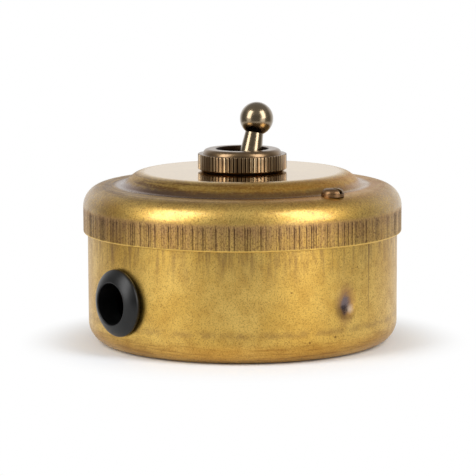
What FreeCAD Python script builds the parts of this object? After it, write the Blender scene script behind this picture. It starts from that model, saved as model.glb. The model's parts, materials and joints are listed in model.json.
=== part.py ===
import FreeCAD, Part
import math
import os

# A round surface-mounted dolly switch, in millimetres. The origin is the centre of the base on the
# mounting plane, +Z points out of the wall, the cable enters on the -X side, the lid's screw is on
# the -Y side, and the dolly swings in the XZ plane.

# Box, a drawn sheet cup
BOX_RADIUS = 36.5
BOX_HEIGHT = 32.92
BOX_SHEET = 0.9
BOX_CORNER = 5.0
FIXING_INSET = 11.1
FIXING_HOLE_RADIUS = 2.25
WELD_HEIGHT = 12.9
WELD_DENT_RADIUS = 5.0
WELD_DENT_DEPTH = 0.35

# Cable grommet
ENTRY_HEIGHT = 12.5
ENTRY_BORE_RADIUS = 4.8
GROMMET_NECK = 1.4
GROMMET_FLANGE = 1.55
GROMMET_INNER_FLANGE = 1.0
GROMMET_STAND_OUT = 2.8
GROMMET_SEAT = 0.2
GROMMET_RIM = 0.7
GROMMET_LIP = 0.25
GROMMET_INNER_DEPTH = 2.0
GROMMET_FIT = 0.05

# Lid, a pressed cap
LID_SHEET = 0.9
LID_GAP = 0.1
LID_RIM_GAP = 0.05
LID_SKIRT = 6.1
LID_SKIRT_EDGE = 0.4
LID_SHOULDER = 4.9
LID_LEDGE = 3.5
PLATEAU_RISE = 3.12
STEP_ANGLE = 40.0
STEP_CROWN = 5.0
STEP_FOOT = 1.5

# Lid screw, and the strap that it pulls on
SCREW_RADIUS = 1.5
SCREW_LENGTH = 8.0
SCREW_HEAD_RADIUS = 2.6
SCREW_HEAD_HEIGHT = 1.9
SCREW_SLOT_WIDTH = 0.8
SCREW_SLOT_DEPTH = 1.1
SCREW_SLOT_ANGLE = -82.0
SCREW_STEP_GAP = 0.1
SCREW_HOLE_GAP = 0.15
STRAP_SHEET = 1.5
STRAP_WIDTH = 9.0
STRAP_BEND = 2.2
STRAP_TOE = 6.0
STRAP_TONGUE = 3.4
STRAP_LID_GAP = 0.45
WELD_GAP = 0.03
THREAD_FIT = 0.05

# Earth terminal
EARTH_INSET = 14.2
EARTH_ANGLE = 45.0
EARTH_RADIUS = 3.6
EARTH_HEIGHT = 6.0
EARTH_RIVET_RADIUS = 2.0
EARTH_WIRE_RADIUS = 1.5
EARTH_SCREW_RADIUS = 1.6
EARTH_HEAD_GAP = 0.5

# Bush, its nuts and its washer
BUSH_BORE = 5.8
BUSH_WALL = 1.2
BUSH_SHOULDER = 1.3
BUSH_SHOULDER_RISE = 2.6
BUSH_SHOULDER_DROP = 2.2
BUSH_SPIGOT_WALL = 0.7
BUSH_EDGE = 0.4
NUT_WALL = 3.4
NUT_CHAMFER = 0.6
NUT_CHAMFER_RUN = 1.0
NUT_BAND = 3.5
NUT_TOP_EDGE = 0.2
NUT_LEDGE = 1.2
NUT_COLLAR_SIDE = 0.2
NUT_COLLAR_LEAN = 12.0
NUT_COLLAR_ROUND = 1.2
NUT_LIP = 0.85
NUT_LIP_DEPTH = 1.3
NUT_TEETH = 70
NUT_TOOTH_DEPTH = 0.35
NUT_TOOTH_LAND = 0.45
BACK_NUT_FLATS = 19.0
BACK_NUT_HEIGHT = 2.5
BACK_NUT_CHAMFER = 0.6
WASHER_WIDTH = 3.0
WASHER_SHEET = 0.6
WASHER_NOTCHES = 12
WASHER_NOTCH_WIDTH = 1.0
WASHER_NOTCH_DEPTH = 1.3

# Dolly, and what is in its tail
PIVOT_DEPTH = 8.12
DOLLY_LEAN = 12.5
DOLLY_REACH = 20.6
BALL_RADIUS = 3.97
STEM_TOP_RADIUS = 2.15
STEM_FOOT_RADIUS = 3.5
PIVOT_BALL_GAP = 0.5
PIN_RADIUS = 1.2
PIN_END_GAP = 0.5
PRESS_GAP = 0.01
RUNNING_FIT = 0.05
TAIL_LENGTH = 7.8
TAIL_WALL = 1.15
TAIL_ROOF = 2.4
PLUNGER_RADIUS = 1.6
PLUNGER_LENGTH = 4.3
SPRING_WIRE_RADIUS = 0.22
SPRING_TURNS = 3
SPRING_GAP = 0.1

# Rocker, contacts and terminals
ROCKER_DROP = 10.5
ROCKER_SHEET = 0.8
ROCKER_WIDTH = 5.0
ROCKER_ARM = 9.2
ROCKER_TILT = 8.0
ROCKER_END_ROUND = 1.2
ROCKER_AXLE_RADIUS = 0.75
NOSE_GAP = 0.2
EAR_GAP = 0.3
EAR_WIDTH = 3.6
CONTACT_OFFSET = 7.5
CONTACT_DOME = 3.0
CONTACT_HEAD = 0.5
CONTACT_RIVET_RADIUS = 0.7
CONTACT_RIVET_EDGE = 0.4
CONTACT_GAP = 0.1
TERMINAL_SHEET = 0.8
TERMINAL_WIDTH = 6.0
TERMINAL_INSET = 4.4
TERMINAL_TAB = 7.5
TERMINAL_TAB_ROUND = 1.2
TERMINAL_END = 0.4
TERMINAL_FIT = 0.05
TERMINAL_SCREW_DROP = 4.2
TERMINAL_SCREW_RADIUS = 1.5
TERMINAL_SCREW_LENGTH = 4.0
CHEESE_HEAD_RADIUS = 2.6
CHEESE_HEAD_HEIGHT = 1.8

# Case and yoke
CASE_LENGTH = 30.0
CASE_WIDTH = 17.0
CASE_WALL = 2.0
CASE_FLOOR = 2.5
CASE_CORNER = 1.2
YOKE_SHEET = 1.0
YOKE_BEND = 1.5
YOKE_LEG = 8.0
YOKE_HOOK = 2.5
YOKE_FIT = 0.05

# Places that follow from the sizes above
box_inside = BOX_RADIUS - BOX_SHEET
lid_inside = BOX_RADIUS + LID_GAP
lid_radius = lid_inside + LID_SHEET
shoulder_radius = lid_radius - LID_SHOULDER
shoulder_inner = LID_SHOULDER - LID_SHEET
rim_reach = math.sqrt(shoulder_inner ** 2 - (BOX_RADIUS - shoulder_radius) ** 2)
shoulder_z = BOX_HEIGHT + LID_RIM_GAP - rim_reach
ledge_z = shoulder_z + LID_SHOULDER
plateau_z = ledge_z + PLATEAU_RISE
skirt_z = shoulder_z - LID_SKIRT

step_sin = math.sin(math.radians(STEP_ANGLE))
step_cos = math.cos(math.radians(STEP_ANGLE))
step_fall = PLATEAU_RISE - (STEP_CROWN + STEP_FOOT) * (1 - step_cos)
step_run = (STEP_CROWN + STEP_FOOT) * step_sin + step_fall * step_cos / step_sin
foot_radius = shoulder_radius - LID_LEDGE
plateau_radius = foot_radius - step_run

screw_circle = foot_radius + SCREW_STEP_GAP + SCREW_HEAD_RADIUS
strap_top = ledge_z - LID_SHEET - STRAP_LID_GAP
fixing_circle = BOX_RADIUS - FIXING_INSET
earth_x = (BOX_RADIUS - EARTH_INSET) * math.cos(math.radians(EARTH_ANGLE))
earth_y = (BOX_RADIUS - EARTH_INSET) * math.sin(math.radians(EARTH_ANGLE))
earth_top = BOX_SHEET + EARTH_HEIGHT
entry_hole = ENTRY_BORE_RADIUS + GROMMET_NECK

thread_radius = BUSH_BORE + BUSH_WALL
thread_hole = thread_radius + THREAD_FIT
bush_shoulder = thread_radius + BUSH_SHOULDER
bush_spigot = BUSH_BORE + BUSH_SPIGOT_WALL
nut_radius = thread_hole + NUT_WALL
nut_ledge_z = plateau_z + NUT_CHAMFER + NUT_BAND
lean_sin = math.sin(math.radians(NUT_COLLAR_LEAN))
lean_cos = math.cos(math.radians(NUT_COLLAR_LEAN))
nut_top = nut_ledge_z + NUT_COLLAR_SIDE + NUT_COLLAR_ROUND * (1 - lean_sin)
nut_roof = nut_top - NUT_LIP_DEPTH
bush_top = nut_roof - THREAD_FIT
washer_z = plateau_z - LID_SHEET - WASHER_SHEET
back_nut_z = washer_z - BACK_NUT_HEIGHT

pivot_z = plateau_z - PIVOT_DEPTH
yoke_top = pivot_z - BUSH_SHOULDER_DROP
case_top = yoke_top - YOKE_SHEET
pivot_ball = BUSH_BORE - PIVOT_BALL_GAP
plunger_bore = PLUNGER_RADIUS + RUNNING_FIT
tail_radius = plunger_bore + TAIL_WALL
nose_reach = ROCKER_DROP - ROCKER_SHEET - NOSE_GAP
plunger_top = nose_reach - PLUNGER_LENGTH

rocker_z = pivot_z - ROCKER_DROP
ear_inside = ROCKER_WIDTH / 2 + EAR_GAP
ear_outside = ear_inside + TERMINAL_SHEET
contact_radius = math.sqrt(CONTACT_DOME ** 2 - (CONTACT_DOME - CONTACT_HEAD) ** 2)
tilt_sin = math.sin(math.radians(ROCKER_TILT))
tilt_cos = math.cos(math.radians(ROCKER_TILT))
contact_low = (CONTACT_DOME - CONTACT_HEAD) * tilt_cos - CONTACT_DOME - CONTACT_OFFSET * tilt_sin
terminal_z = rocker_z + contact_low - CONTACT_GAP - CONTACT_HEAD
floor_z = terminal_z - TERMINAL_SHEET
case_z = floor_z - CASE_FLOOR
tab_end = case_z - TERMINAL_TAB
terminal_offset = CASE_LENGTH / 2 - TERMINAL_INSET
terminal_screw_z = case_z - TERMINAL_SCREW_DROP

CLEAR = 1.0  # how far a cutting tool runs past what it cuts
TOUCHING = 1e-6  # points nearer than this are one point
EDGE_SLACK = 0.01  # how wide a straight edge's box may be, as a share of its length
ORIGIN = FreeCAD.Vector(0, 0, 0)
X_AXIS = FreeCAD.Vector(1, 0, 0)
Y_AXIS = FreeCAD.Vector(0, 1, 0)
Z_AXIS = FreeCAD.Vector(0, 0, 1)
PIVOT = FreeCAD.Vector(0, 0, pivot_z)
ROCKER_AXIS = FreeCAD.Vector(0, 0, rocker_z)


class Outline:
    """A closed outline in the XZ plane, made of straight runs and arcs."""

    def __init__(self, x, z):
        self.start = FreeCAD.Vector(x, 0, z)
        self.here = self.start
        self.edges = []

    def line(self, x, z):
        there = FreeCAD.Vector(x, 0, z)
        self.edges.append(Part.makeLine(self.here, there))
        self.here = there
        return self

    def arc(self, centre_x, centre_z, x, z):
        """Turn the short way about a centre, to the point x, z."""
        centre = FreeCAD.Vector(centre_x, 0, centre_z)
        there = FreeCAD.Vector(x, 0, z)
        spoke = self.here - centre
        half_way = spoke + (there - centre)
        middle = centre + half_way * (spoke.Length / half_way.Length)
        self.edges.append(Part.Arc(self.here, middle, there).toShape())
        self.here = there
        return self

    def face(self):
        if not self.here.isEqual(self.start, TOUCHING):
            self.line(self.start.x, self.start.z)
        return Part.Face(Part.Wire(self.edges))

    def turned(self, degrees=360):
        """Spin the outline about Z, half of the angle to each side of the XZ plane."""
        face = self.face().rotated(ORIGIN, Z_AXIS, -degrees / 2)
        return face.revolve(ORIGIN, Z_AXIS, degrees)

    def pulled(self, width):
        """Pull the outline to a width along Y, centred on the XZ plane."""
        face = self.face().translated(Y_AXIS * (-width / 2))
        return face.extrude(Y_AXIS * width)


def rod(radius, start, end):
    """A cylinder from one point to another."""
    along = end - start
    return Part.makeCylinder(radius, along.Length, start, along)


def upright(radius, bottom, top, x=0.0, y=0.0):
    return rod(radius, FreeCAD.Vector(x, y, bottom), FreeCAD.Vector(x, y, top))


def across(radius, half_length, z, axis):
    """A cylinder centred over the origin at a height, along X or Y."""
    middle = Z_AXIS * z
    return rod(radius, middle - axis * half_length, middle + axis * half_length)


def slab(length, width, bottom, top, x=0.0):
    """A box centred on the X axis at x, between two heights."""
    return Part.makeBox(length, width, top - bottom, FreeCAD.Vector(x - length / 2, -width / 2, bottom))


def rounded(shape, radius, wanted):
    """Fillet the straight edges that the wanted test picks by their boxes."""
    return shape.makeFillet(radius, [edge for edge in shape.Edges if wanted(edge.BoundBox)])


def stands_up(box):
    """True for an edge that runs along Z alone."""
    return box.XLength + box.YLength < EDGE_SLACK * box.ZLength


def lies_along_x(box):
    """True for an edge that runs along X alone."""
    return box.YLength + box.ZLength < EDGE_SLACK * box.XLength


def slotted(shape, width, depth, top):
    return shape.cut(slab(2 * shape.BoundBox.XLength, width, top - depth, top + CLEAR))


def cheese_screw(radius, length):
    """A cheese-head screw, with its seat at the origin and its head up."""
    screw = upright(radius, -length, 0).fuse(upright(CHEESE_HEAD_RADIUS, 0, CHEESE_HEAD_HEIGHT))
    return slotted(screw.removeSplitter(), SCREW_SLOT_WIDTH, CHEESE_HEAD_HEIGHT / 2, CHEESE_HEAD_HEIGHT)


def at_rest_with_dolly(shape):
    return shape.rotated(PIVOT, Y_AXIS, DOLLY_LEAN)


def at_rest_with_rocker(shape):
    return shape.rotated(ROCKER_AXIS, Y_AXIS, -ROCKER_TILT)


def box():
    flat = BOX_RADIUS - BOX_CORNER
    cup = Outline(0, 0).line(flat, 0).arc(flat, BOX_CORNER, BOX_RADIUS, BOX_CORNER)
    cup.line(BOX_RADIUS, BOX_HEIGHT).line(box_inside, BOX_HEIGHT).line(box_inside, BOX_CORNER)
    cup.arc(flat, BOX_CORNER, flat, BOX_SHEET).line(0, BOX_SHEET)
    shell = cup.turned()
    entry = Z_AXIS * ENTRY_HEIGHT
    shell = shell.cut(rod(entry_hole, entry, entry - X_AXIS * (BOX_RADIUS + CLEAR)))
    rivet_hole = EARTH_RIVET_RADIUS + THREAD_FIT
    shell = shell.cut(upright(rivet_hole, -CLEAR, BOX_SHEET + CLEAR, earth_x, earth_y))
    dent_reach = BOX_RADIUS + WELD_DENT_RADIUS - WELD_DENT_DEPTH
    shell = shell.cut(Part.makeSphere(WELD_DENT_RADIUS, FreeCAD.Vector(0, -dent_reach, WELD_HEIGHT)))
    for fixing_y in (-fixing_circle, fixing_circle):
        shell = shell.cut(upright(FIXING_HOLE_RADIUS, -CLEAR, BOX_SHEET + CLEAR, 0, fixing_y))
    return shell


def cable_grommet():
    """Drawn upright, with heights as distances from the box's axis, then laid along -X.

    The sloping face touches both the round lip of the bore and the round rim of the flange.
    """
    lip = ENTRY_BORE_RADIUS + GROMMET_LIP
    lip_z = BOX_RADIUS + GROMMET_STAND_OUT - GROMMET_LIP
    rim = entry_hole + GROMMET_FLANGE - GROMMET_RIM
    back = BOX_RADIUS + GROMMET_FIT
    rim_z = back + GROMMET_RIM
    seat = entry_hole + GROMMET_SEAT
    inner_flange = entry_hole + GROMMET_INNER_FLANGE
    inner = box_inside - GROMMET_INNER_DEPTH
    apart = math.hypot(rim - lip, lip_z - rim_z)
    slope = math.atan2(lip_z - rim_z, rim - lip) - math.asin((GROMMET_RIM - GROMMET_LIP) / apart)
    slope_sin, slope_cos = math.sin(slope), math.cos(slope)
    blank = Outline(ENTRY_BORE_RADIUS, inner + GROMMET_LIP).line(ENTRY_BORE_RADIUS, lip_z)
    blank.arc(lip, lip_z, lip + GROMMET_LIP * slope_sin, lip_z + GROMMET_LIP * slope_cos)
    blank.line(rim + GROMMET_RIM * slope_sin, rim_z + GROMMET_RIM * slope_cos).arc(rim, rim_z, rim, back)
    blank.line(seat, back).line(seat, box_inside).line(inner_flange, box_inside)
    blank.line(inner_flange, inner + GROMMET_LIP)
    corner = inner_flange - GROMMET_LIP
    blank.arc(corner, inner + GROMMET_LIP, corner, inner).line(lip, inner)
    blank.arc(lip, inner + GROMMET_LIP, ENTRY_BORE_RADIUS, inner + GROMMET_LIP)
    laid = blank.turned().rotated(ORIGIN, Y_AXIS, -90).translated(Z_AXIS * ENTRY_HEIGHT)
    wall = upright(BOX_RADIUS + GROMMET_FIT, -BOX_HEIGHT, BOX_HEIGHT)
    wall = wall.cut(upright(box_inside - GROMMET_FIT, -BOX_HEIGHT - CLEAR, BOX_HEIGHT + CLEAR))
    neck = across(entry_hole - GROMMET_FIT, 2 * BOX_RADIUS, ENTRY_HEIGHT, X_AXIS)
    return laid.cut(wall.cut(neck))


def lid():
    """The outer and inner faces share their arcs' centres, so the sheet keeps its thickness."""
    crown_z = plateau_z - STEP_CROWN
    heel_z = ledge_z + STEP_FOOT
    crown_in = STEP_CROWN - LID_SHEET
    foot_in = STEP_FOOT + LID_SHEET
    hole = thread_hole + SCREW_HOLE_GAP
    edge_x = lid_radius - LID_SKIRT_EDGE
    cap = Outline(hole, plateau_z).line(plateau_radius, plateau_z)
    cap.arc(plateau_radius, crown_z, plateau_radius + STEP_CROWN * step_sin, crown_z + STEP_CROWN * step_cos)
    cap.line(foot_radius - STEP_FOOT * step_sin, heel_z - STEP_FOOT * step_cos)
    cap.arc(foot_radius, heel_z, foot_radius, ledge_z).line(shoulder_radius, ledge_z)
    cap.arc(shoulder_radius, shoulder_z, lid_radius, shoulder_z).line(lid_radius, skirt_z + LID_SKIRT_EDGE)
    cap.arc(edge_x, skirt_z + LID_SKIRT_EDGE, edge_x, skirt_z).line(lid_inside, skirt_z)
    cap.line(lid_inside, shoulder_z)
    cap.arc(shoulder_radius, shoulder_z, shoulder_radius, ledge_z - LID_SHEET)
    cap.line(foot_radius, ledge_z - LID_SHEET)
    cap.arc(foot_radius, heel_z, foot_radius - foot_in * step_sin, heel_z - foot_in * step_cos)
    cap.line(plateau_radius + crown_in * step_sin, crown_z + crown_in * step_cos)
    cap.arc(plateau_radius, crown_z, plateau_radius, plateau_z - LID_SHEET).line(hole, plateau_z - LID_SHEET)
    return cap.turned().cut(upright(SCREW_RADIUS + SCREW_HOLE_GAP, skirt_z, plateau_z, 0, -screw_circle))


def lid_screw():
    """A domed head on a plain shank."""
    dome = (SCREW_HEAD_RADIUS ** 2 + SCREW_HEAD_HEIGHT ** 2) / (2 * SCREW_HEAD_HEIGHT)
    body = Outline(0, -SCREW_LENGTH).line(SCREW_RADIUS, -SCREW_LENGTH).line(SCREW_RADIUS, 0)
    body.line(SCREW_HEAD_RADIUS, 0).arc(0, SCREW_HEAD_HEIGHT - dome, 0, SCREW_HEAD_HEIGHT)
    screw = slotted(body.turned(), SCREW_SLOT_WIDTH, SCREW_SLOT_DEPTH, SCREW_HEAD_HEIGHT)
    screw = screw.rotated(ORIGIN, Z_AXIS, SCREW_SLOT_ANGLE)
    return screw.translated(FreeCAD.Vector(0, -screw_circle, ledge_z))


def lid_strap():
    """A strip up the wall and over under the lid, drawn towards +X and turned to the screw."""
    outside = box_inside - WELD_GAP
    bend_x = outside - STRAP_BEND
    bend_z = strap_top - STRAP_BEND
    toe = WELD_HEIGHT - STRAP_TOE
    tongue = screw_circle - STRAP_TONGUE
    strip = Outline(outside, toe).line(outside, bend_z).arc(bend_x, bend_z, bend_x, strap_top)
    strip.line(tongue, strap_top).line(tongue, strap_top - STRAP_SHEET)
    strip.line(bend_x, strap_top - STRAP_SHEET)
    strip.arc(bend_x, bend_z, outside - STRAP_SHEET, bend_z).line(outside - STRAP_SHEET, toe)
    spread = 2 * math.degrees(math.asin(STRAP_WIDTH / tongue))
    strap = strip.turned(spread).common(slab(2 * BOX_RADIUS, STRAP_WIDTH, 0, plateau_z))
    strap = strap.cut(upright(SCREW_RADIUS + THREAD_FIT, 0, plateau_z, screw_circle))
    return strap.rotated(ORIGIN, Z_AXIS, -90)


def earth_pillar():
    pillar = upright(EARTH_RADIUS, BOX_SHEET, earth_top).fuse(upright(EARTH_RIVET_RADIUS, 0, BOX_SHEET))
    wire_z = BOX_SHEET + EARTH_HEIGHT / 2
    pillar = pillar.cut(across(EARTH_WIRE_RADIUS, EARTH_RADIUS + CLEAR, wire_z, X_AXIS))
    pillar = pillar.cut(upright(EARTH_SCREW_RADIUS + THREAD_FIT, wire_z, earth_top + CLEAR))
    return pillar.removeSplitter().translated(FreeCAD.Vector(earth_x, earth_y, 0))


def earth_screw():
    length = EARTH_HEIGHT / 2 + EARTH_HEAD_GAP
    return cheese_screw(EARTH_SCREW_RADIUS, length).translated(
        FreeCAD.Vector(earth_x, earth_y, earth_top + EARTH_HEAD_GAP)
    )


def bush():
    sleeve = Outline(BUSH_BORE, case_top).line(bush_spigot, case_top).line(bush_spigot, yoke_top)
    sleeve.line(bush_shoulder, yoke_top).line(bush_shoulder, pivot_z + BUSH_SHOULDER_RISE)
    sleeve.line(thread_radius, pivot_z + BUSH_SHOULDER_RISE).line(thread_radius, bush_top - BUSH_EDGE)
    sleeve.line(thread_radius - BUSH_EDGE, bush_top).line(BUSH_BORE, bush_top)
    return sleeve.turned().cut(across(PIN_RADIUS + PRESS_GAP, bush_shoulder + CLEAR, pivot_z, Y_AXIS))


def pivot_pin():
    return across(PIN_RADIUS, bush_shoulder - PIN_END_GAP, pivot_z, Y_AXIS)


def knurl_blank(bottom, top):
    """A prism with a V-groove between the narrow lands of its teeth."""
    pitch = 360.0 / NUT_TEETH
    root_radius = nut_radius - NUT_TOOTH_DEPTH
    points = []
    for tooth in range(NUT_TEETH):
        for radius, share in (
            (nut_radius, -NUT_TOOTH_LAND / 2),
            (nut_radius, NUT_TOOTH_LAND / 2),
            (root_radius, 0.5),
        ):
            turn = math.radians((tooth + share) * pitch)
            points.append(FreeCAD.Vector(radius * math.cos(turn), radius * math.sin(turn), bottom))
    face = Part.Face(Part.makePolygon(points + points[:1]))
    return face.extrude(Z_AXIS * (top - bottom))


def dress_nut():
    """A turned form with a rounded collar, cut by the knurl and opened for the bush and the dolly."""
    collar = nut_radius - NUT_LEDGE
    side_x = collar - NUT_COLLAR_SIDE * lean_sin / lean_cos
    side_z = nut_ledge_z + NUT_COLLAR_SIDE
    round_x = side_x - NUT_COLLAR_ROUND * lean_cos
    form = Outline(0, plateau_z).line(nut_radius - NUT_CHAMFER_RUN, plateau_z)
    form.line(nut_radius, plateau_z + NUT_CHAMFER).line(nut_radius, nut_ledge_z - NUT_TOP_EDGE)
    form.line(nut_radius - NUT_TOP_EDGE, nut_ledge_z).line(collar, nut_ledge_z).line(side_x, side_z)
    form.arc(round_x, nut_top - NUT_COLLAR_ROUND, round_x, nut_top).line(0, nut_top)
    nut = knurl_blank(plateau_z, nut_top + CLEAR).common(form.turned())
    nut = nut.cut(upright(thread_hole, plateau_z - CLEAR, nut_roof))
    return nut.cut(upright(thread_hole - NUT_LIP, plateau_z, nut_top + CLEAR))


def lock_washer():
    ring = upright(thread_hole + WASHER_WIDTH, washer_z, washer_z + WASHER_SHEET)
    ring = ring.cut(upright(thread_hole, washer_z - CLEAR, plateau_z))
    reach = thread_hole + WASHER_WIDTH
    for notch in range(WASHER_NOTCHES):
        cutter = slab(2 * WASHER_NOTCH_DEPTH, WASHER_NOTCH_WIDTH, washer_z - CLEAR, plateau_z, reach)
        ring = ring.cut(cutter.rotated(ORIGIN, Z_AXIS, notch * 360.0 / WASHER_NOTCHES))
    return ring


def back_nut():
    """A thin hexagon with its corners chamfered underneath."""
    corner = BACK_NUT_FLATS / math.sqrt(3)
    turns = [math.radians(60 * step) for step in range(7)]
    points = [FreeCAD.Vector(corner * math.cos(t), corner * math.sin(t), back_nut_z) for t in turns]
    hexagon = Part.Face(Part.makePolygon(points)).extrude(Z_AXIS * BACK_NUT_HEIGHT)
    cone = Outline(0, back_nut_z).line(BACK_NUT_FLATS / 2, back_nut_z)
    cone.line(corner, back_nut_z + BACK_NUT_CHAMFER).line(corner + CLEAR, back_nut_z + BACK_NUT_CHAMFER)
    cone.line(corner + CLEAR, washer_z).line(0, washer_z)
    nut = hexagon.common(cone.turned())
    return nut.cut(upright(thread_hole, back_nut_z - CLEAR, washer_z + CLEAR))


def dolly():
    """Turned upright from ball to tail, drilled for its pin and its plunger, then leant over."""
    ball_z = pivot_z + DOLLY_REACH
    neck_z = ball_z - math.sqrt(BALL_RADIUS ** 2 - STEM_TOP_RADIUS ** 2)
    foot_z = pivot_z + math.sqrt(pivot_ball ** 2 - STEM_FOOT_RADIUS ** 2)
    tail_z = pivot_z - math.sqrt(pivot_ball ** 2 - tail_radius ** 2)
    form = Outline(0, ball_z + BALL_RADIUS).arc(0, ball_z, STEM_TOP_RADIUS, neck_z)
    form.line(STEM_FOOT_RADIUS, foot_z).arc(0, pivot_z, tail_radius, tail_z)
    form.line(tail_radius, pivot_z - TAIL_LENGTH).line(plunger_bore, pivot_z - TAIL_LENGTH)
    form.line(plunger_bore, pivot_z - TAIL_ROOF).line(0, pivot_z - TAIL_ROOF)
    turned = form.turned().cut(across(PIN_RADIUS + RUNNING_FIT, BUSH_BORE, pivot_z, Y_AXIS))
    return at_rest_with_dolly(turned)


def plunger():
    """A round-nosed pin, at the length that it has as the dolly passes the middle of its throw."""
    nose_z = pivot_z - nose_reach
    form = Outline(0, nose_z).arc(0, nose_z + PLUNGER_RADIUS, PLUNGER_RADIUS, nose_z + PLUNGER_RADIUS)
    form.line(PLUNGER_RADIUS, pivot_z - plunger_top).line(0, pivot_z - plunger_top)
    return at_rest_with_dolly(form.turned())


def plunger_spring():
    coil = plunger_bore - SPRING_GAP - SPRING_WIRE_RADIUS
    bottom = pivot_z - plunger_top + SPRING_WIRE_RADIUS + RUNNING_FIT
    top = pivot_z - TAIL_ROOF - SPRING_WIRE_RADIUS - RUNNING_FIT
    helix = Part.makeHelix((top - bottom) / SPRING_TURNS, top - bottom, coil).translated(Z_AXIS * bottom)
    start = FreeCAD.Vector(coil, 0, bottom)
    section = Part.Wire(Part.makeCircle(SPRING_WIRE_RADIUS, start, Y_AXIS))
    wire = Part.Wire(helix.Edges).makePipeShell([section], True, True)
    return at_rest_with_dolly(wire)


def rocker():
    """A flat see-saw on a cross axle, with a hole at each end for its contact."""
    top = rocker_z + ROCKER_SHEET
    plate = rounded(slab(2 * ROCKER_ARM, ROCKER_WIDTH, rocker_z, top), ROCKER_END_ROUND, stands_up)
    plate = plate.fuse(across(ROCKER_AXLE_RADIUS, ear_outside + EAR_GAP, rocker_z, Y_AXIS))
    for side in (-1, 1):
        hole = upright(CONTACT_RIVET_RADIUS + PRESS_GAP, rocker_z - CLEAR, top + CLEAR, side * CONTACT_OFFSET)
        plate = plate.cut(hole)
    return at_rest_with_rocker(plate.removeSplitter())


def rocker_contacts():
    """Rivets with a domed face below the rocker and a set end above it."""
    top = rocker_z + ROCKER_SHEET
    head_z = rocker_z - CONTACT_HEAD
    set_radius = CONTACT_RIVET_RADIUS + CONTACT_RIVET_EDGE
    form = Outline(0, head_z).arc(0, head_z + CONTACT_DOME, contact_radius, rocker_z)
    form.line(CONTACT_RIVET_RADIUS, rocker_z).line(CONTACT_RIVET_RADIUS, top).line(set_radius, top)
    form.line(set_radius, top + CONTACT_RIVET_EDGE).line(0, top + CONTACT_RIVET_EDGE)
    rivet = form.turned()
    pair = [rivet.translated(X_AXIS * (side * CONTACT_OFFSET)) for side in (-1, 1)]
    return at_rest_with_rocker(Part.makeCompound(pair))


def fixed_contacts():
    rivet = upright(contact_radius, terminal_z, terminal_z + CONTACT_HEAD)
    rivet = rivet.fuse(upright(CONTACT_RIVET_RADIUS, floor_z, terminal_z)).removeSplitter()
    return Part.makeCompound([rivet.translated(X_AXIS * (side * CONTACT_OFFSET)) for side in (-1, 1)])


def round_tab(shape):
    """Round the two lower corners of a terminal's tab."""
    return rounded(shape, TERMINAL_TAB_ROUND, lambda box: lies_along_x(box) and box.ZMax < tab_end + CLEAR)


def outer_terminal(turn):
    """A strip on the case's floor that turns down through it as a tab, drawn on the +X side."""
    near = CONTACT_OFFSET - contact_radius - TERMINAL_END
    tab_inside = terminal_offset - TERMINAL_SHEET / 2
    tab_outside = terminal_offset + TERMINAL_SHEET / 2
    bend_x = tab_outside - TERMINAL_SHEET
    strip = Outline(near, floor_z).line(tab_inside, floor_z).line(tab_inside, tab_end)
    strip.line(tab_outside, tab_end).line(tab_outside, floor_z).arc(bend_x, floor_z, bend_x, terminal_z)
    strip.line(near, terminal_z)
    terminal = round_tab(strip.pulled(TERMINAL_WIDTH))
    rivet_hole = CONTACT_RIVET_RADIUS + PRESS_GAP
    terminal = terminal.cut(upright(rivet_hole, floor_z - CLEAR, terminal_z + CLEAR, CONTACT_OFFSET))
    screw_hole = across(TERMINAL_SCREW_RADIUS + THREAD_FIT, CASE_LENGTH, terminal_screw_z, X_AXIS)
    return terminal.cut(screw_hole).rotated(ORIGIN, Z_AXIS, turn)


def common_terminal():
    """A cradle with an ear on each side of the rocker, and a tab through the floor."""
    cradle = Outline(-ear_outside, floor_z).line(ear_outside, floor_z).line(ear_outside, rocker_z)
    cradle.line(ear_inside, rocker_z).line(ear_inside, terminal_z).line(-ear_inside, terminal_z)
    cradle.line(-ear_inside, rocker_z).line(-ear_outside, rocker_z)
    terminal = cradle.pulled(EAR_WIDTH).rotated(ORIGIN, Z_AXIS, 90)
    for side in (-1, 1):
        inside = FreeCAD.Vector(0, side * ear_inside, rocker_z)
        outside = FreeCAD.Vector(0, side * ear_outside, rocker_z)
        terminal = terminal.fuse(rod(EAR_WIDTH / 2, inside, outside))
    tab = round_tab(slab(TERMINAL_SHEET, TERMINAL_WIDTH, tab_end, floor_z))
    terminal = terminal.fuse(tab).removeSplitter()
    terminal = terminal.cut(across(ROCKER_AXLE_RADIUS + RUNNING_FIT, 2 * ear_outside, rocker_z, Y_AXIS))
    return terminal.cut(across(TERMINAL_SCREW_RADIUS + THREAD_FIT, EAR_WIDTH, terminal_screw_z, X_AXIS))


def terminal_screws():
    """One on each tab, with the outer heads outwards."""
    screw = cheese_screw(TERMINAL_SCREW_RADIUS, TERMINAL_SCREW_LENGTH)
    screws = []
    for tab_x, facing in ((-terminal_offset, -1), (0, 1), (terminal_offset, 1)):
        seat = FreeCAD.Vector(tab_x + facing * TERMINAL_SHEET / 2, 0, terminal_screw_z)
        screws.append(screw.rotated(ORIGIN, Y_AXIS, facing * 90).translated(seat))
    return Part.makeCompound(screws)


def switch_case():
    """An open-topped moulding, with a slot in its floor for each tab."""
    case = rounded(slab(CASE_LENGTH, CASE_WIDTH, case_z, case_top), CASE_CORNER, stands_up)
    hollow = slab(CASE_LENGTH - 2 * CASE_WALL, CASE_WIDTH - 2 * CASE_WALL, floor_z, case_top + CLEAR)
    case = case.cut(hollow)
    for tab_x in (-terminal_offset, 0, terminal_offset):
        slot_length = TERMINAL_SHEET + 2 * TERMINAL_FIT
        slot_width = TERMINAL_WIDTH + 2 * TERMINAL_FIT
        case = case.cut(slab(slot_length, slot_width, case_z - CLEAR, floor_z + CLEAR, tab_x))
    return case


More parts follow.
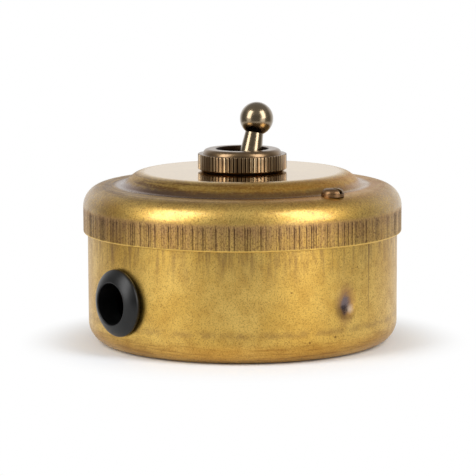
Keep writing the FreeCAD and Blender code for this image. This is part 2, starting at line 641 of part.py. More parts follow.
def yoke():
    """A strip folded round the case's top and ends, and hooked under it, with a wide top plate."""
    inside = CASE_LENGTH / 2 + YOKE_FIT
    outside = inside + YOKE_SHEET
    bend = outside - YOKE_BEND
    hook = inside - YOKE_HOOK
    hook_top = case_z - YOKE_FIT
    hook_z = hook_top - YOKE_SHEET
    strip = Outline(-hook, hook_z).line(-bend, hook_z)
    strip.arc(-bend, hook_z + YOKE_BEND, -outside, hook_z + YOKE_BEND).line(-outside, yoke_top - YOKE_BEND)
    strip.arc(-bend, yoke_top - YOKE_BEND, -bend, yoke_top).line(bend, yoke_top)
    strip.arc(bend, yoke_top - YOKE_BEND, outside, yoke_top - YOKE_BEND).line(outside, hook_z + YOKE_BEND)
    strip.arc(bend, hook_z + YOKE_BEND, bend, hook_z).line(hook, hook_z).line(hook, hook_top)
    strip.line(inside, hook_top).line(inside, case_top).line(-inside, case_top)
    strip.line(-inside, hook_top).line(-hook, hook_top)
    frame = strip.pulled(YOKE_LEG).fuse(slab(2 * bend, CASE_WIDTH, case_top, yoke_top)).removeSplitter()
    return frame.cut(upright(bush_spigot + YOKE_FIT, case_top - CLEAR, yoke_top + CLEAR))


PIECES = {
    "box": box(),
    "cable_grommet": cable_grommet(),
    "lid": lid(),
    "lid_screw": lid_screw(),
    "lid_strap": lid_strap(),
    "earth_pillar": earth_pillar(),
    "earth_screw": earth_screw(),
    "bush": bush(),
    "pivot_pin": pivot_pin(),
    "dress_nut": dress_nut(),
    "lock_washer": lock_washer(),
    "back_nut": back_nut(),
    "dolly": dolly(),
    "plunger": plunger(),
    "plunger_spring": plunger_spring(),
    "rocker": rocker(),
    "rocker_contacts": rocker_contacts(),
    "fixed_contacts": fixed_contacts(),
    "feed_terminal": outer_terminal(180),
    "strapper_terminal": outer_terminal(0),
    "common_terminal": common_terminal(),
    "terminal_screws": terminal_screws(),
    "switch_case": switch_case(),
    "yoke": yoke(),
}

os.makedirs("parts", exist_ok=True)
for name, shape in PIECES.items():
    shape.exportStep(os.path.join("parts", name + ".step"))
    print(name, len(shape.Solids), "solid, volume", round(shape.Volume, 2), "valid", shape.isValid())
print("pivot height", round(pivot_z, 3), "rocker height", round(rocker_z, 3))
print("lid radius", round(lid_radius, 3), "nut top", round(nut_top, 3))
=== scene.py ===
# %% [markdown]
# A brass dolly switch, dressed for its picture
#
# The imported model gives every piece of the switch at its real size and place. This lesson keeps that
# frame and gives it its looks. The pieces that show are turned again with finer edges than the solids
# have, and every piece gets a finish made of nodes. The first lines load the frame, with a helper that
# reads the box round each solid. The dressed switch must not grow out of it.

# %% Load the frame
import json
import math
import random

import bmesh
import bpy
from mathutils import Matrix, Quaternion, Vector


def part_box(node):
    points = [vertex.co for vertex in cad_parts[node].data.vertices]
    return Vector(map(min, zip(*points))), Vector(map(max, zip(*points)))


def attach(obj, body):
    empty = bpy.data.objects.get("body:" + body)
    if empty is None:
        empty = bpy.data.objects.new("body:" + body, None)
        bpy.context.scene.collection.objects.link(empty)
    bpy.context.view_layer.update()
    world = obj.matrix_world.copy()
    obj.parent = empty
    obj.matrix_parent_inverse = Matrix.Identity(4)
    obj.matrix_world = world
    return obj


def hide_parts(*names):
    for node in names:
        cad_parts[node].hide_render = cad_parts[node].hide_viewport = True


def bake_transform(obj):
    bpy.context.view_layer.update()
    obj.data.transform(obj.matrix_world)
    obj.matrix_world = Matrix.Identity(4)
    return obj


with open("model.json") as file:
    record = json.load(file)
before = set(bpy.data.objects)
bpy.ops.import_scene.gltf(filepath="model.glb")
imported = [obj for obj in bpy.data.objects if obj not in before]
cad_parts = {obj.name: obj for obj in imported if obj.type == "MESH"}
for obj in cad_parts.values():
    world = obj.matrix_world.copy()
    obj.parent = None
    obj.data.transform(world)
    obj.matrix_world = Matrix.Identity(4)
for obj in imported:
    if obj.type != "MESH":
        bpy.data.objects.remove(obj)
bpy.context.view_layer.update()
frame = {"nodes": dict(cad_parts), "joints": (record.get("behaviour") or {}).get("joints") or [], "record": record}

MM = 0.001  # the frame is in metres, and a maker of switches thinks in millimetres

# %% [markdown]
# The sizes that the frame already knows are read from it, so that the dressed pieces follow the solids.
# A node's box gives two corners in metres. From those come the radius of anything round, and the heights
# at which the pieces meet.

# %% Sizes read from the frame
def corners(node):
    """The two corners of a node's box, in millimetres."""
    low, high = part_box(node)
    return low / MM, high / MM


box_high = corners("box")[1]
lid_low, lid_high = corners("lid")
nut_low, nut_high = corners("dress_nut")
grommet_low, grommet_high = corners("cable_grommet")
screw_low, screw_high = corners("lid_screw")
box_radius, box_top = box_high.x, box_high.z
lid_radius, skirt_z, plateau_z = lid_high.x, lid_low.z, lid_high.z
nut_radius, nut_top = nut_high.x, nut_high.z
hinge = next(joint for joint in frame["joints"] if joint["name"] == "dolly_toggle")
pivot = Vector(hinge["pos_m"]) / MM
print("box radius", round(box_radius, 2), "lid radius", round(lid_radius, 2))
print("pivot height", round(pivot.z, 2))

# %% [markdown]
# The camera stands where the photographer stood: a long lens, a little above the lid, forty degrees
# round from the cable entry. The lens and the shift are worked out from the size of the switch in a
# frame of 476 pixels, and the aim is a point on the switch's own axis.

# %% Camera
FRAME_PIXELS = 476.0
FOCAL_PIXELS = 2540.3
AIM_PIXEL = (242.5, 246.5)
CAMERA_TURN = -40.0
CAMERA_RISE = 8.276
CAMERA_DISTANCE = 601.0
CAMERA_ROLL = -0.003
SENSOR_WIDTH = 36.0
CLIP_START = 10.0
AIM = Vector((0.0, 0.0, 22.0)) * MM


def outwards(turn, rise):
    """The direction that lies some degrees round from -Y and some degrees up."""
    turn, rise = math.radians(turn), math.radians(rise)
    return Vector((math.sin(turn) * math.cos(rise), -math.cos(turn) * math.cos(rise), math.sin(rise)))


away = outwards(CAMERA_TURN, CAMERA_RISE)
camera = bpy.data.objects.new("camera", bpy.data.cameras.new("camera"))
camera.data.sensor_width = SENSOR_WIDTH
camera.data.lens = FOCAL_PIXELS / FRAME_PIXELS * SENSOR_WIDTH
camera.data.shift_x = (FRAME_PIXELS / 2 - AIM_PIXEL[0]) / FRAME_PIXELS
camera.data.shift_y = (AIM_PIXEL[1] - FRAME_PIXELS / 2) / FRAME_PIXELS
camera.data.clip_start = CLIP_START * MM
camera.rotation_mode = "QUATERNION"
camera.location = AIM + away * CAMERA_DISTANCE * MM
camera.rotation_quaternion = (-away).to_track_quat("-Z", "Y") @ Quaternion((0, 0, 1), CAMERA_ROLL)
bpy.context.scene.collection.objects.link(camera)
bpy.context.scene.camera = camera
bpy.context.scene.view_settings.view_transform = "Standard"
shift = [round(value, 4) for value in (camera.data.shift_x, camera.data.shift_y)]
print("lens", round(camera.data.lens, 1), "mm, shift", shift)

# %% [markdown]
# Finishes are made of nodes, and long chains of Math nodes are hard to read. So one small class wraps a
# socket: a sum in Python on two of them adds the Math node that does it. The add method makes any other
# node. Its settings are set first, and then its sockets are given values or links. A blend of two
# colours goes through a Mix node, because a Math node would turn a colour grey.

# %% Node sums as Python sums
class Wire:
    """One socket of a node tree, on which Python sums add nodes."""

    def __init__(self, tree, socket=None):
        self.tree = tree
        self.socket = socket

    def add(self, kind, settings=None, inputs=None, out=0):
        """Add a node with some settings, values and links, and give the wire of one of its outputs."""
        node = self.tree.nodes.new(kind)
        for name, value in (settings or {}).items():
            setattr(node, name, value)
        for key, value in (inputs or {}).items():
            if isinstance(value, Wire):
                self.tree.links.new(value.socket, node.inputs[key])
            else:
                node.inputs[key].default_value = value
        return Wire(self.tree, node.outputs[out] if node.outputs else None)

    def math(self, operation, *values):
        return self.add("ShaderNodeMath", {"operation": operation}, dict(enumerate(values)))

    def __add__(self, other):
        return self.math("ADD", self, other)

    def __sub__(self, other):
        return self.math("SUBTRACT", self, other)

    def __rsub__(self, other):
        return self.math("SUBTRACT", other, self)

    def __mul__(self, other):
        return self.math("MULTIPLY", self, other)

    __radd__ = __add__
    __rmul__ = __mul__

    def most(self, other):
        """The larger of two values."""
        return self.math("MAXIMUM", self, other)

    def root(self):
        return self.math("SQRT", self)

    def size(self):
        """The value without its sign."""
        return self.math("ABSOLUTE", self)

    def rise(self, low, high):
        """0 below low, 1 above high and smooth between them. With low above high it falls instead."""
        inputs = {"Value": self, "From Min": low, "From Max": high}
        return self.add("ShaderNodeMapRange", {"interpolation_type": "SMOOTHSTEP"}, inputs)

    def rise_mm(self, low, high):
        """The same for a length in metres, between limits in millimetres."""
        return self.rise(low * MM, high * MM)

    def distance(self, point):
        """How far this place lies from a point, in metres."""
        return self.add("ShaderNodeVectorMath", {"operation": "DISTANCE"}, {0: self, 1: point}, "Value")

    def along(self, direction):
        """How far this place or direction reaches along another direction."""
        settings = {"operation": "DOT_PRODUCT"}
        return self.add("ShaderNodeVectorMath", settings, {0: self, 1: direction}, "Value")

    def tint(self, below, above):
        """A colour that goes from below to above as this value goes from 0 to 1."""
        settings = {"data_type": "RGBA"}
        return self.add("ShaderNodeMix", settings, {0: self, 6: below, 7: above}, out=2)

    def stretch(self, x, y, z):
        """The place times a factor for each axis. Noise on it is drawn out where a factor is small."""
        return self.add("ShaderNodeVectorMath", {"operation": "MULTIPLY"}, {0: self, 1: (x, y, z)})

    def noise(self, size, detail=2.0, roughness=0.5):
        """Soft noise on a vector in metres, with blotches about as wide as a size in millimetres."""
        inputs = {"Vector": self, "Scale": 1.0 / (size * MM), "Detail": detail, "Roughness": roughness}
        return self.add("ShaderNodeTexNoise", None, inputs)

    def axes(self):
        """The X, Y and Z of a vector."""
        split = self.add("ShaderNodeSeparateXYZ", None, {0: self}).socket.node
        return [Wire(self.tree, socket) for socket in split.outputs]


def rgb(red, green, blue):
    """A colour as it looks on a screen, 0 to 255, as the linear light that a node takes."""
    linear = [((value / 255 + 0.055) / 1.055) ** 2.4 for value in (red, green, blue)]
    return (*linear, 1.0)


print("a wire adds, takes away, multiplies, blends and makes noise")

# %% [markdown]
# A finish is a material with one Principled shader. Every recipe below starts from the piece's own
# Object coordinates, in metres, so a pattern stays on the piece when the piece moves.

# %% Helpers for a finish
def start_finish(name):
    """A new material and the wire of its Object coordinates."""
    material = bpy.data.materials.new(name)
    material.use_nodes = True
    material.node_tree.nodes.clear()
    place = Wire(material.node_tree).add("ShaderNodeTexCoord", None, None, "Object")
    return material, place


def end_finish(material, place, sockets, bump=None):
    """Join wires and numbers to the sockets of a Principled shader, and that to the output."""
    inputs = dict(sockets)
    if bump:
        height, strength, distance = bump
        levels = {"Height": height, "Strength": strength, "Distance": distance * MM}
        inputs["Normal"] = place.add("ShaderNodeBump", None, levels)
    shader = place.add("ShaderNodeBsdfPrincipled", None, inputs)
    place.add("ShaderNodeOutputMaterial", None, {"Surface": shader})
    print("finish", material.name, "with", len(material.node_tree.nodes), "nodes")
    return material


print("a finish starts from Object coordinates and ends in a Principled shader")

# %% [markdown]
# The floor is plain white card, a little cool, as paper is. The picture's ground is pure white a little
# way from the switch, so further out the card gives the camera, and shiny metal, plain white light instead
# of its own shading. Near the switch it is ordinary card, and keeps the soft shadow.

# %% Floor
FLOOR_RADIUS = 190.0
FLOOR_DROP = 0.02
SHADOW_CENTRE = 3.0  # how far the shadow's middle lies from the axis, towards the camera
SHADOW_REACH = (36.0, 54.0)
FLOOR_SIDES = 96
CARD = (0.90, 0.92, 0.95, 1.0)
WHITE = (1.0, 1.0, 1.0, 1.0)

towards_camera = outwards(CAMERA_TURN, 0.0)
floor_finish, floor_place = start_finish("white_card")
path = Wire(floor_finish.node_tree)
rays = [path.add("ShaderNodeLightPath", None, None, name) for name in
        ("Is Camera Ray", "Is Glossy Ray", "Is Transmission Ray")]
seen = rays[0].most(rays[1]).most(rays[2])
middle = tuple(towards_camera * SHADOW_CENTRE * MM)
bare = floor_place.distance(middle).rise_mm(*SHADOW_REACH) * seen
card = path.add("ShaderNodeBsdfDiffuse", None, {"Color": CARD})
glow = path.add("ShaderNodeEmission", None, {"Color": WHITE, "Strength": 1.0})
ground = path.add("ShaderNodeMixShader", None, {0: bare, 1: card, 2: glow})
path.add("ShaderNodeOutputMaterial", None, {"Surface": ground})

bm = bmesh.new()
bmesh.ops.create_circle(bm, cap_ends=True, segments=FLOOR_SIDES, radius=FLOOR_RADIUS * MM)
bmesh.ops.translate(bm, vec=(0, 0, -FLOOR_DROP * MM), verts=bm.verts)
floor_mesh = bpy.data.meshes.new("floor")
bm.to_mesh(floor_mesh)
bm.free()
floor = bpy.data.objects.new("floor", floor_mesh)
floor_mesh.materials.append(floor_finish)
bpy.context.scene.collection.objects.link(floor)
print("floor radius", FLOOR_RADIUS, "mm")

# %% [markdown]
# Two tall softboxes light the switch, one to each side of the camera. The polished ball shows where they
# are: each is narrow and tall, and leans over it from half way up, with a dark gap between them where the
# photographer stands. Area lights do that, and polished metal shows their outlines.

# %% Softboxes
SOFTBOX_DISTANCE = 750.0
SOFTBOX_WIDTH = 340.0
SOFTBOX_HEIGHT = 640.0
SOFTBOX_RISE = 33.0
SOFTBOX_TURNS = (-56.0, 52.0)  # from the camera, to its left and to its right
SOFTBOX_GLOW = 5.4  # how many times as bright as white card


def softbox(name, turn_from_camera):
    """An area light that leans over and faces the switch, some degrees round from the camera."""
    lamp = bpy.data.lights.new(name, "AREA")
    lamp.shape = "RECTANGLE"
    lamp.size = SOFTBOX_WIDTH * MM
    lamp.size_y = SOFTBOX_HEIGHT * MM
    lamp.energy = SOFTBOX_GLOW * math.pi * lamp.size * lamp.size_y
    outward = outwards(CAMERA_TURN + turn_from_camera, SOFTBOX_RISE)
    light = bpy.data.objects.new(name, lamp)
    light.location = outward * SOFTBOX_DISTANCE * MM
    light.rotation_euler = (-outward).to_track_quat("-Z", "Y").to_euler()
    light.visible_camera = False
    bpy.context.scene.collection.objects.link(light)
    place = [round(value, 2) for value in light.location]
    print(name, "stands at", place, "with", round(lamp.energy, 1), "W")


softbox("left_softbox", SOFTBOX_TURNS[0])
softbox("right_softbox", SOFTBOX_TURNS[1])

# %% [markdown]
# The rest of the room only shows in the metal. Behind the switch is white paper, a white panel stands to
# each side under its softbox, overhead is dim, and towards the camera it is nearly dark. The world paints
# that by direction, and the camera itself sees plain white.

# %% Room
ROOM_BEHIND = 1.0
ROOM_FRONT = 0.22
ROOM_ABOVE = 0.36
ROOM_PANELS = (1.4, 2.3)  # the left one and the right one
ROOM_TURN = -6.0  # the room stands a little askew to the camera
PAPER_EDGE = (0.25, 0.80)  # these edges are parts of a direction's length, to the back or upwards
PANEL_NEAR = (-0.88, -0.76)
PANEL_FAR = (-0.34, -0.52)
PANEL_TOP = (0.30, 0.10)
CEILING_EDGE = (0.35, 0.70)
PANEL_SPLIT = (-0.3, 0.3)  # from the left panel's level to the right one's

world = bpy.data.worlds.new("studio")
world.use_nodes = True
world.node_tree.nodes.clear()
bpy.context.scene.world = world
room = Wire(world.node_tree)
facing = room.add("ShaderNodeTexCoord", None, None, "Generated")
back = tuple(-outwards(CAMERA_TURN + ROOM_TURN, 0.0))
behind = facing.along(back)
height = facing.axes()[2]
right = tuple(outwards(CAMERA_TURN + ROOM_TURN + 90.0, 0.0))
panels = behind.rise(*PANEL_NEAR) * behind.rise(*PANEL_FAR) * height.rise(*PANEL_TOP)
glow = ROOM_PANELS[0] + facing.along(right).rise(*PANEL_SPLIT) * (ROOM_PANELS[1] - ROOM_PANELS[0])
level = ROOM_FRONT + behind.rise(*PAPER_EDGE) * (ROOM_BEHIND - ROOM_FRONT) + panels * (glow - ROOM_FRONT)
level = level + height.rise(*CEILING_EDGE) * (ROOM_ABOVE - level)
to_camera = room.add("ShaderNodeLightPath", None, None, "Is Camera Ray")
strength = to_camera.most(level)
paper = room.add("ShaderNodeBackground", None, {"Color": WHITE, "Strength": strength})
room.add("ShaderNodeOutputWorld", None, {"Surface": paper})
print("room with", len(world.node_tree.nodes), "nodes")

# %% [markdown]
# Nearly every piece that shows was turned on a lathe or pressed round a former, so nearly every piece
# here is a section that is spun about an axis. The section is drawn like a pen stroke: a straight run
# extrudes the last vertex, and a round stretch spins it about the centre of its arc. Another spin then
# makes the skin. The doubles are merged and the normals are made to face outwards.

# %% Sections and turning
MERGE = 0.001  # vertices nearer than this are one
SLICES = 8


class Section:
    """A section in the XZ plane, in millimetres, drawn on from its last vertex."""

    def __init__(self, x, z):
        self.bm = bmesh.new()
        self.tip = self.bm.verts.new((x, 0, z))

    def line(self, x, z, parts=1):
        start = self.tip.co.copy()
        for part in range(1, parts + 1):
            made = bmesh.ops.extrude_vert_indiv(self.bm, verts=[self.tip])
            self.tip = made["verts"][0]
            self.tip.co = start.lerp(Vector((x, 0, z)), part / parts)
        return self

    def arc(self, centre_x, centre_z, degrees, steps):
        """Turn about a centre. Positive degrees go clockwise, from up towards the right."""
        made = bmesh.ops.spin(self.bm, geom=[self.tip], cent=(centre_x, 0, centre_z), axis=(0, 1, 0),
                              angle=math.radians(degrees), steps=steps)
        self.tip = next(item for item in made["geom_last"] if isinstance(item, bmesh.types.BMVert))
        return self

    def turned(self, steps):
        """Spin one slice about Z, and copy the slice round. That is far quicker than one long spin."""
        spin = {"cent": (0, 0, 0), "axis": (0, 0, 1)}
        bmesh.ops.spin(self.bm, geom=self.bm.verts[:] + self.bm.edges[:], angle=math.tau / SLICES,
                       steps=steps // SLICES, **spin)
        rest = SLICES - 1
        bmesh.ops.spin(self.bm, geom=self.bm.verts[:] + self.bm.edges[:] + self.bm.faces[:],
                       angle=math.tau * rest / SLICES, steps=rest, use_duplicate=True, **spin)
        bmesh.ops.remove_doubles(self.bm, verts=self.bm.verts, dist=MERGE)
        bmesh.ops.recalc_face_normals(self.bm, faces=self.bm.faces)
        return self.bm


SHARP_ANGLE = math.radians(38.0)


def dress(bm, node, body, finish, stretch=None):
    """Turn a bmesh in millimetres into an object that stands in for a CAD node and rides on its body.
    Given a stretch, it is baked in place and rides on no body; the bodies and ends in the stretch are not used."""
    bmesh.ops.scale(bm, vec=(MM, MM, MM), verts=bm.verts)
    mesh = bpy.data.meshes.new("dressed_" + node)
    bm.to_mesh(mesh)
    bm.free()
    mesh.shade_smooth()
    mesh.set_sharp_from_angle(angle=SHARP_ANGLE)
    mesh.materials.append(finish)
    piece = bpy.data.objects.new("dressed_" + node, mesh)
    bpy.context.scene.collection.objects.link(piece)
    if stretch:
        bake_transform(piece)
    else:
        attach(piece, body)
    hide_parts(node)
    mesh.calc_loop_triangles()
    print(node, "has", len(mesh.loop_triangles), "triangles")


print("sections are spun in", SLICES, "slices")

# %% [markdown]
# Holes for screws, rivets, pins and the cable are cut through two skins of a mesh. The faces inside a
# circle are taken out, the ragged edges are drawn out to that circle, and one edge is bridged to the
# other. A boolean would do it too, but leaves long thin faces that shade badly.

# %% Piercing
def pierce(bm, centre, radius, axis):
    """Cut a round hole through both skins of a piece. Along X, its edges stay on the round wall."""
    def across(point):
        offset = Vector(point) - Vector(centre)
        offset[axis] = 0.0
        return offset

    near = {face for face in bm.faces if across(face.calc_center_median()).length < radius
            and face.calc_center_median()[axis] * centre[axis] >= 0}
    rim = {edge for face in near for edge in face.edges
           if any(other not in near for other in edge.link_faces)}
    bmesh.ops.delete(bm, geom=list(near), context="FACES")
    for vertex in {vertex for edge in rim for vertex in edge.verts}:
        offset = across(vertex.co)
        depth = vertex.co.xy.length
        moved = Vector(centre) + offset * (radius / offset.length)
        moved[axis] = vertex.co[axis]
        if axis == 0:
            moved.x = math.copysign(math.sqrt(depth ** 2 - moved.y ** 2), vertex.co.x)
        vertex.co = moved
    bmesh.ops.bridge_loops(bm, edges=list(rim))
    bmesh.ops.recalc_face_normals(bm, faces=bm.faces)
    print("pierced", round(2 * radius, 2), "mm across, through", len(near), "faces")


print("holes are cut along X, Y or Z")

# %% [markdown]
# Aged brass is the main finish. Raw brass that has been dipped and rubbed back is gold where it was
# rubbed, with a fine brown grain left in its pores, soft clouds of tone, and purple-brown stain where the
# dip lay longest. One recipe gives the gold and the grain. Each piece then adds its own stains through a
# mask, so the box and the lid share the metal but not the marks.

# %% Aged brass
GOLD = rgb(208, 167, 79)
PALE_GOLD = rgb(226, 189, 101)
OLIVE = rgb(176, 132, 55)
GRAIN_BROWN = rgb(112, 76, 36)
STAIN_PURPLE = rgb(108, 76, 58)


def aged_gold(place):
    """The gold with its clouds and grain: its colour, its roughness and the grain."""
    cloud = place.noise(16.0, 3.0).rise(0.35, 0.68)
    mottle = place.noise(3.6, 4.0, 0.65).rise(0.38, 0.68)
    grain = place.noise(0.30, 3.0, 0.7)
    gold = cloud.tint(GOLD, PALE_GOLD)
    gold = (mottle * 0.4).tint(gold, OLIVE)
    speck = grain.rise(0.44, 0.72)
    gold = (speck * 0.65).tint(gold, GRAIN_BROWN)
    roughness = 0.32 + mottle * 0.05 + speck * 0.10
    return gold, roughness, grain


print("aged gold recipe ready")

# %% [markdown]
# The lid is pressed from sheet: a flat middle, a sloping step, a ledge for its screw, a round shoulder and
# a short skirt. The section goes over the outside, round the skirt's edge and back along the inside, one
# thickness of sheet away. It is spun with two columns for each groove of the skirt.

# %% Lid
LID_SHEET = 0.9
LID_HOLE = 7.2
SKIRT_EDGE = 0.4
SKIRT_HEIGHT = 6.1
SHOULDER = 4.9
PLATEAU_RISE = 3.12
STEP_ANGLE = 40.0
STEP_CROWN = 5.0
STEP_FOOT = 1.5
LEDGE = 3.5
LEDGE_PARTS = 7
EDGE_LOOP = 0.15  # a ring this close to the crown keeps the flat middle's shading flat
GROOVES = 400

shoulder_z = skirt_z + SKIRT_HEIGHT
shoulder_radius = lid_radius - SHOULDER
ledge_z = shoulder_z + SHOULDER
foot_radius = shoulder_radius - LEDGE
step_sin, step_cos = math.sin(math.radians(STEP_ANGLE)), math.cos(math.radians(STEP_ANGLE))
step_fall = PLATEAU_RISE - (STEP_CROWN + STEP_FOOT) * (1 - step_cos)
plateau_radius = foot_radius - (STEP_CROWN + STEP_FOOT) * step_sin - step_fall * step_cos / step_sin
crown_z = plateau_z - STEP_CROWN
heel_z = ledge_z + STEP_FOOT
inside = lid_radius - LID_SHEET
crown_in = STEP_CROWN - LID_SHEET

section = Section(LID_HOLE, plateau_z).line(plateau_radius - EDGE_LOOP, plateau_z, 3)
section.line(plateau_radius, plateau_z).arc(plateau_radius, crown_z, STEP_ANGLE, 8)
section.line(foot_radius - STEP_FOOT * step_sin, heel_z - STEP_FOOT * step_cos)
section.arc(foot_radius, heel_z, -STEP_ANGLE, 5).line(shoulder_radius, ledge_z, LEDGE_PARTS)
section.arc(shoulder_radius, shoulder_z, 90, 18).line(lid_radius, skirt_z + SKIRT_EDGE, 6)
section.arc(lid_radius - SKIRT_EDGE, skirt_z + SKIRT_EDGE, 90, 4).line(inside, skirt_z)
section.line(inside, shoulder_z).arc(shoulder_radius, shoulder_z, -90, 6)
section.line(foot_radius, ledge_z - LID_SHEET, LEDGE_PARTS).arc(foot_radius, heel_z, STEP_ANGLE, 3)
section.line(plateau_radius + crown_in * step_sin, crown_z + crown_in * step_cos)
section.arc(plateau_radius, crown_z, -STEP_ANGLE, 3).line(LID_HOLE, plateau_z - LID_SHEET)
section.line(LID_HOLE, plateau_z)
lid = section.turned(2 * GROOVES)
print("lid turned, with a flat middle", round(2 * plateau_radius, 2), "mm across")

# %% [markdown]
# The skirt is knurled with hundreds of fine upright grooves. They are real grooves here: every other column
# of vertices is drawn in by its own small depth. How dark a groove is goes into an attribute on its
# vertices, so the finish can put old stain in it. Waves round the lid gather the dark ones in clusters, and
# a ridge among them takes a little of the stain. The hole for the screw is cut last.

# %% Lid grooves
SEED = 11
GROOVE_DEPTH = (0.02, 0.09)
GROOVE_STAINS = (0.1, 0.5, 1.0)
STAIN_SPREAD = 0.1
CLUSTERS = 7
CLUSTER_WAVES = (4, 50)
CLUSTER_STAIN = 0.4
RIDGE_SHARE = 0.3
RIDGE_START = 0.6
SCREW_HOLE = 1.65

chance = random.Random(SEED)
stain = lid.verts.layers.float.new("groove")
clusters = [(chance.randint(*CLUSTER_WAVES), chance.uniform(0, math.tau)) for _ in range(CLUSTERS)]
column_turn = math.tau / (2 * GROOVES)
columns = {}
for vertex in lid.verts:
    on_skirt = abs(math.hypot(vertex.co.x, vertex.co.y) - lid_radius) < MERGE
    if on_skirt and skirt_z + SKIRT_EDGE - MERGE < vertex.co.z < shoulder_z - MERGE:
        column = round(math.atan2(vertex.co.y, vertex.co.x) / column_turn) % (2 * GROOVES)
        columns.setdefault(column, []).append(vertex)
for column, vertices in sorted(columns.items()):
    turn = column * column_turn
    cluster = sum(math.sin(waves * turn + start) for waves, start in clusters) / len(clusters)
    dark = chance.choice(GROOVE_STAINS) + CLUSTER_STAIN * cluster
    dark = dark + chance.uniform(-STAIN_SPREAD, STAIN_SPREAD)
    if column % 2 == 0:
        dark = RIDGE_SHARE * (dark - RIDGE_START)
    dark = min(1.0, max(0.0, dark))
    if column % 2:
        depth = GROOVE_DEPTH[0] + (GROOVE_DEPTH[1] - GROOVE_DEPTH[0]) * dark
        shrink = 1 - depth / lid_radius
        bmesh.ops.scale(lid, vec=(shrink, shrink, 1), verts=vertices)
    for vertex in vertices:
        vertex[stain] = dark
screw_y = (screw_low.y + screw_high.y) / 2
pierce(lid, (0, screw_y, ledge_z), SCREW_HOLE, 2)
print("lid has", GROOVES, "grooves")

# %% [markdown]
# The lid's finish starts with the skirt. It is duller and browner than the shoulder, because a rag rides
# over the grooves, and it is dotted with old polish. The grooves hold dark stain, from their attribute. The
# lower rim is painted brighter, partly as wear and partly as a painted highlight on its rolled edge.

# %% Lid finish on the skirt
SKIRT_DULL = rgb(170, 132, 98)
DOT_BROWN = rgb(90, 62, 46)
GROOVE_DARK = rgb(58, 36, 30)

lid_finish, place = start_finish("aged_brass_lid")
x, y, z = place.axes()
gold, roughness, grain = aged_gold(place)
ragged = place.stretch(1.0, 1.0, 0.2).noise(0.9, 3.0, 0.7)
skirt = (z + (ragged - 0.5) * (1.6 * MM)).rise_mm(shoulder_z + 0.7, shoulder_z - 0.5)
# painted highlight and wear: the lower rim of the skirt is painted brighter
rim = z.rise_mm(skirt_z + 0.5, skirt_z + 0.2)
upper = z.rise_mm(skirt_z + 1.2, shoulder_z - 0.3)
dull = (0.18 + ragged.rise(0.35, 0.65) * 0.25 + upper * 0.30) * skirt * (1 - rim)
colour = dull.tint(gold, SKIRT_DULL)
dots = place.stretch(1.0, 1.0, 0.6).noise(0.28, 2.0, 0.6)
colour = (dots.rise(0.50, 0.62) * skirt * (1 - rim) * 0.55).tint(colour, DOT_BROWN)
groove = place.add("ShaderNodeAttribute", {"attribute_name": "groove"}, None, "Fac")
smear = place.noise(0.8, 3.0, 0.7).rise(0.25, 0.6)
line = groove * (0.55 + smear * 0.30 + upper * 0.25) * (1 - rim)
colour = line.tint(colour, GROOVE_DARK)
colour = (rim * 0.8).tint(colour, PALE_GOLD)
print("the skirt's marks reach up to", round(shoulder_z, 2), "mm")

# %% [markdown]
# Above the skirt, the step is streaked brown all round, by noise that changes fast with the radius and
# slowly along it. Painted shade makes it darker on the camera's left. The lid's top is painted browner at
# its left and right ends as painted shade, and has dark and pale flakes. A purple-grey line of painted shade
# lies in the corner at the step's foot, darker on the camera's left too. The flat middle is polished, and
# only the shoulder keeps its lacquer.

# %% Lid finish on the top
SHADED_SIDE = -130.0  # the side that is painted darker as shade, the camera's left, in degrees round from -Y
RING_SLOW = 0.05
STEP_LIT_BROWN = rgb(190, 133, 56)
STEP_SHADED_BROWN = rgb(102, 68, 34)
END_PAINTED_SHADE = rgb(122, 85, 40)
FLAKE_DARK = rgb(118, 80, 36)
FLAKE_PALE = rgb(234, 200, 116)
CORNER_PAINTED_SHADE = rgb(114, 88, 74)
POLISHED = rgb(196, 168, 124)

radius = (x * x + y * y).root()
slow = place.add("ShaderNodeCombineXYZ", None, {"X": x * RING_SLOW, "Y": y * RING_SLOW, "Z": radius})
ring = slow.noise(0.8, 3.0, 0.6)
towards_shaded_side = place.along(tuple(outwards(SHADED_SIDE, 0.0)))
# painted shade: the step's brown and the corner line are darker towards the camera's left
side = towards_shaded_side.rise_mm(-20.0, 24.0)
step = radius.rise_mm(plateau_radius + 0.3, plateau_radius + 2.5) * (1 - skirt)
step = step * radius.rise_mm(shoulder_radius + 4.2, shoulder_radius + 0.4)
step_brown_lit_to_shaded = side.tint(STEP_LIT_BROWN, STEP_SHADED_BROWN)
colour = (step * (0.35 + ring.rise(0.38, 0.62) * 0.55)).tint(colour, step_brown_lit_to_shaded)
# painted shade: the lid's top is browner at its left and right ends as the camera sees it
ends = towards_shaded_side.size().rise_mm(24.0, 36.0) * (1 - skirt)
colour = (ends * 0.4).tint(colour, END_PAINTED_SHADE)
flake = place.noise(0.5, 3.0, 0.7)
colour = (flake.rise(0.52, 0.66) * (1 - skirt) * 0.45).tint(colour, FLAKE_DARK)
colour = (flake.rise(0.46, 0.34) * (1 - skirt) * 0.45).tint(colour, FLAKE_PALE)
blot = (place.noise(2.0, 3.0, 0.6) - 0.5) * (1.4 * MM)
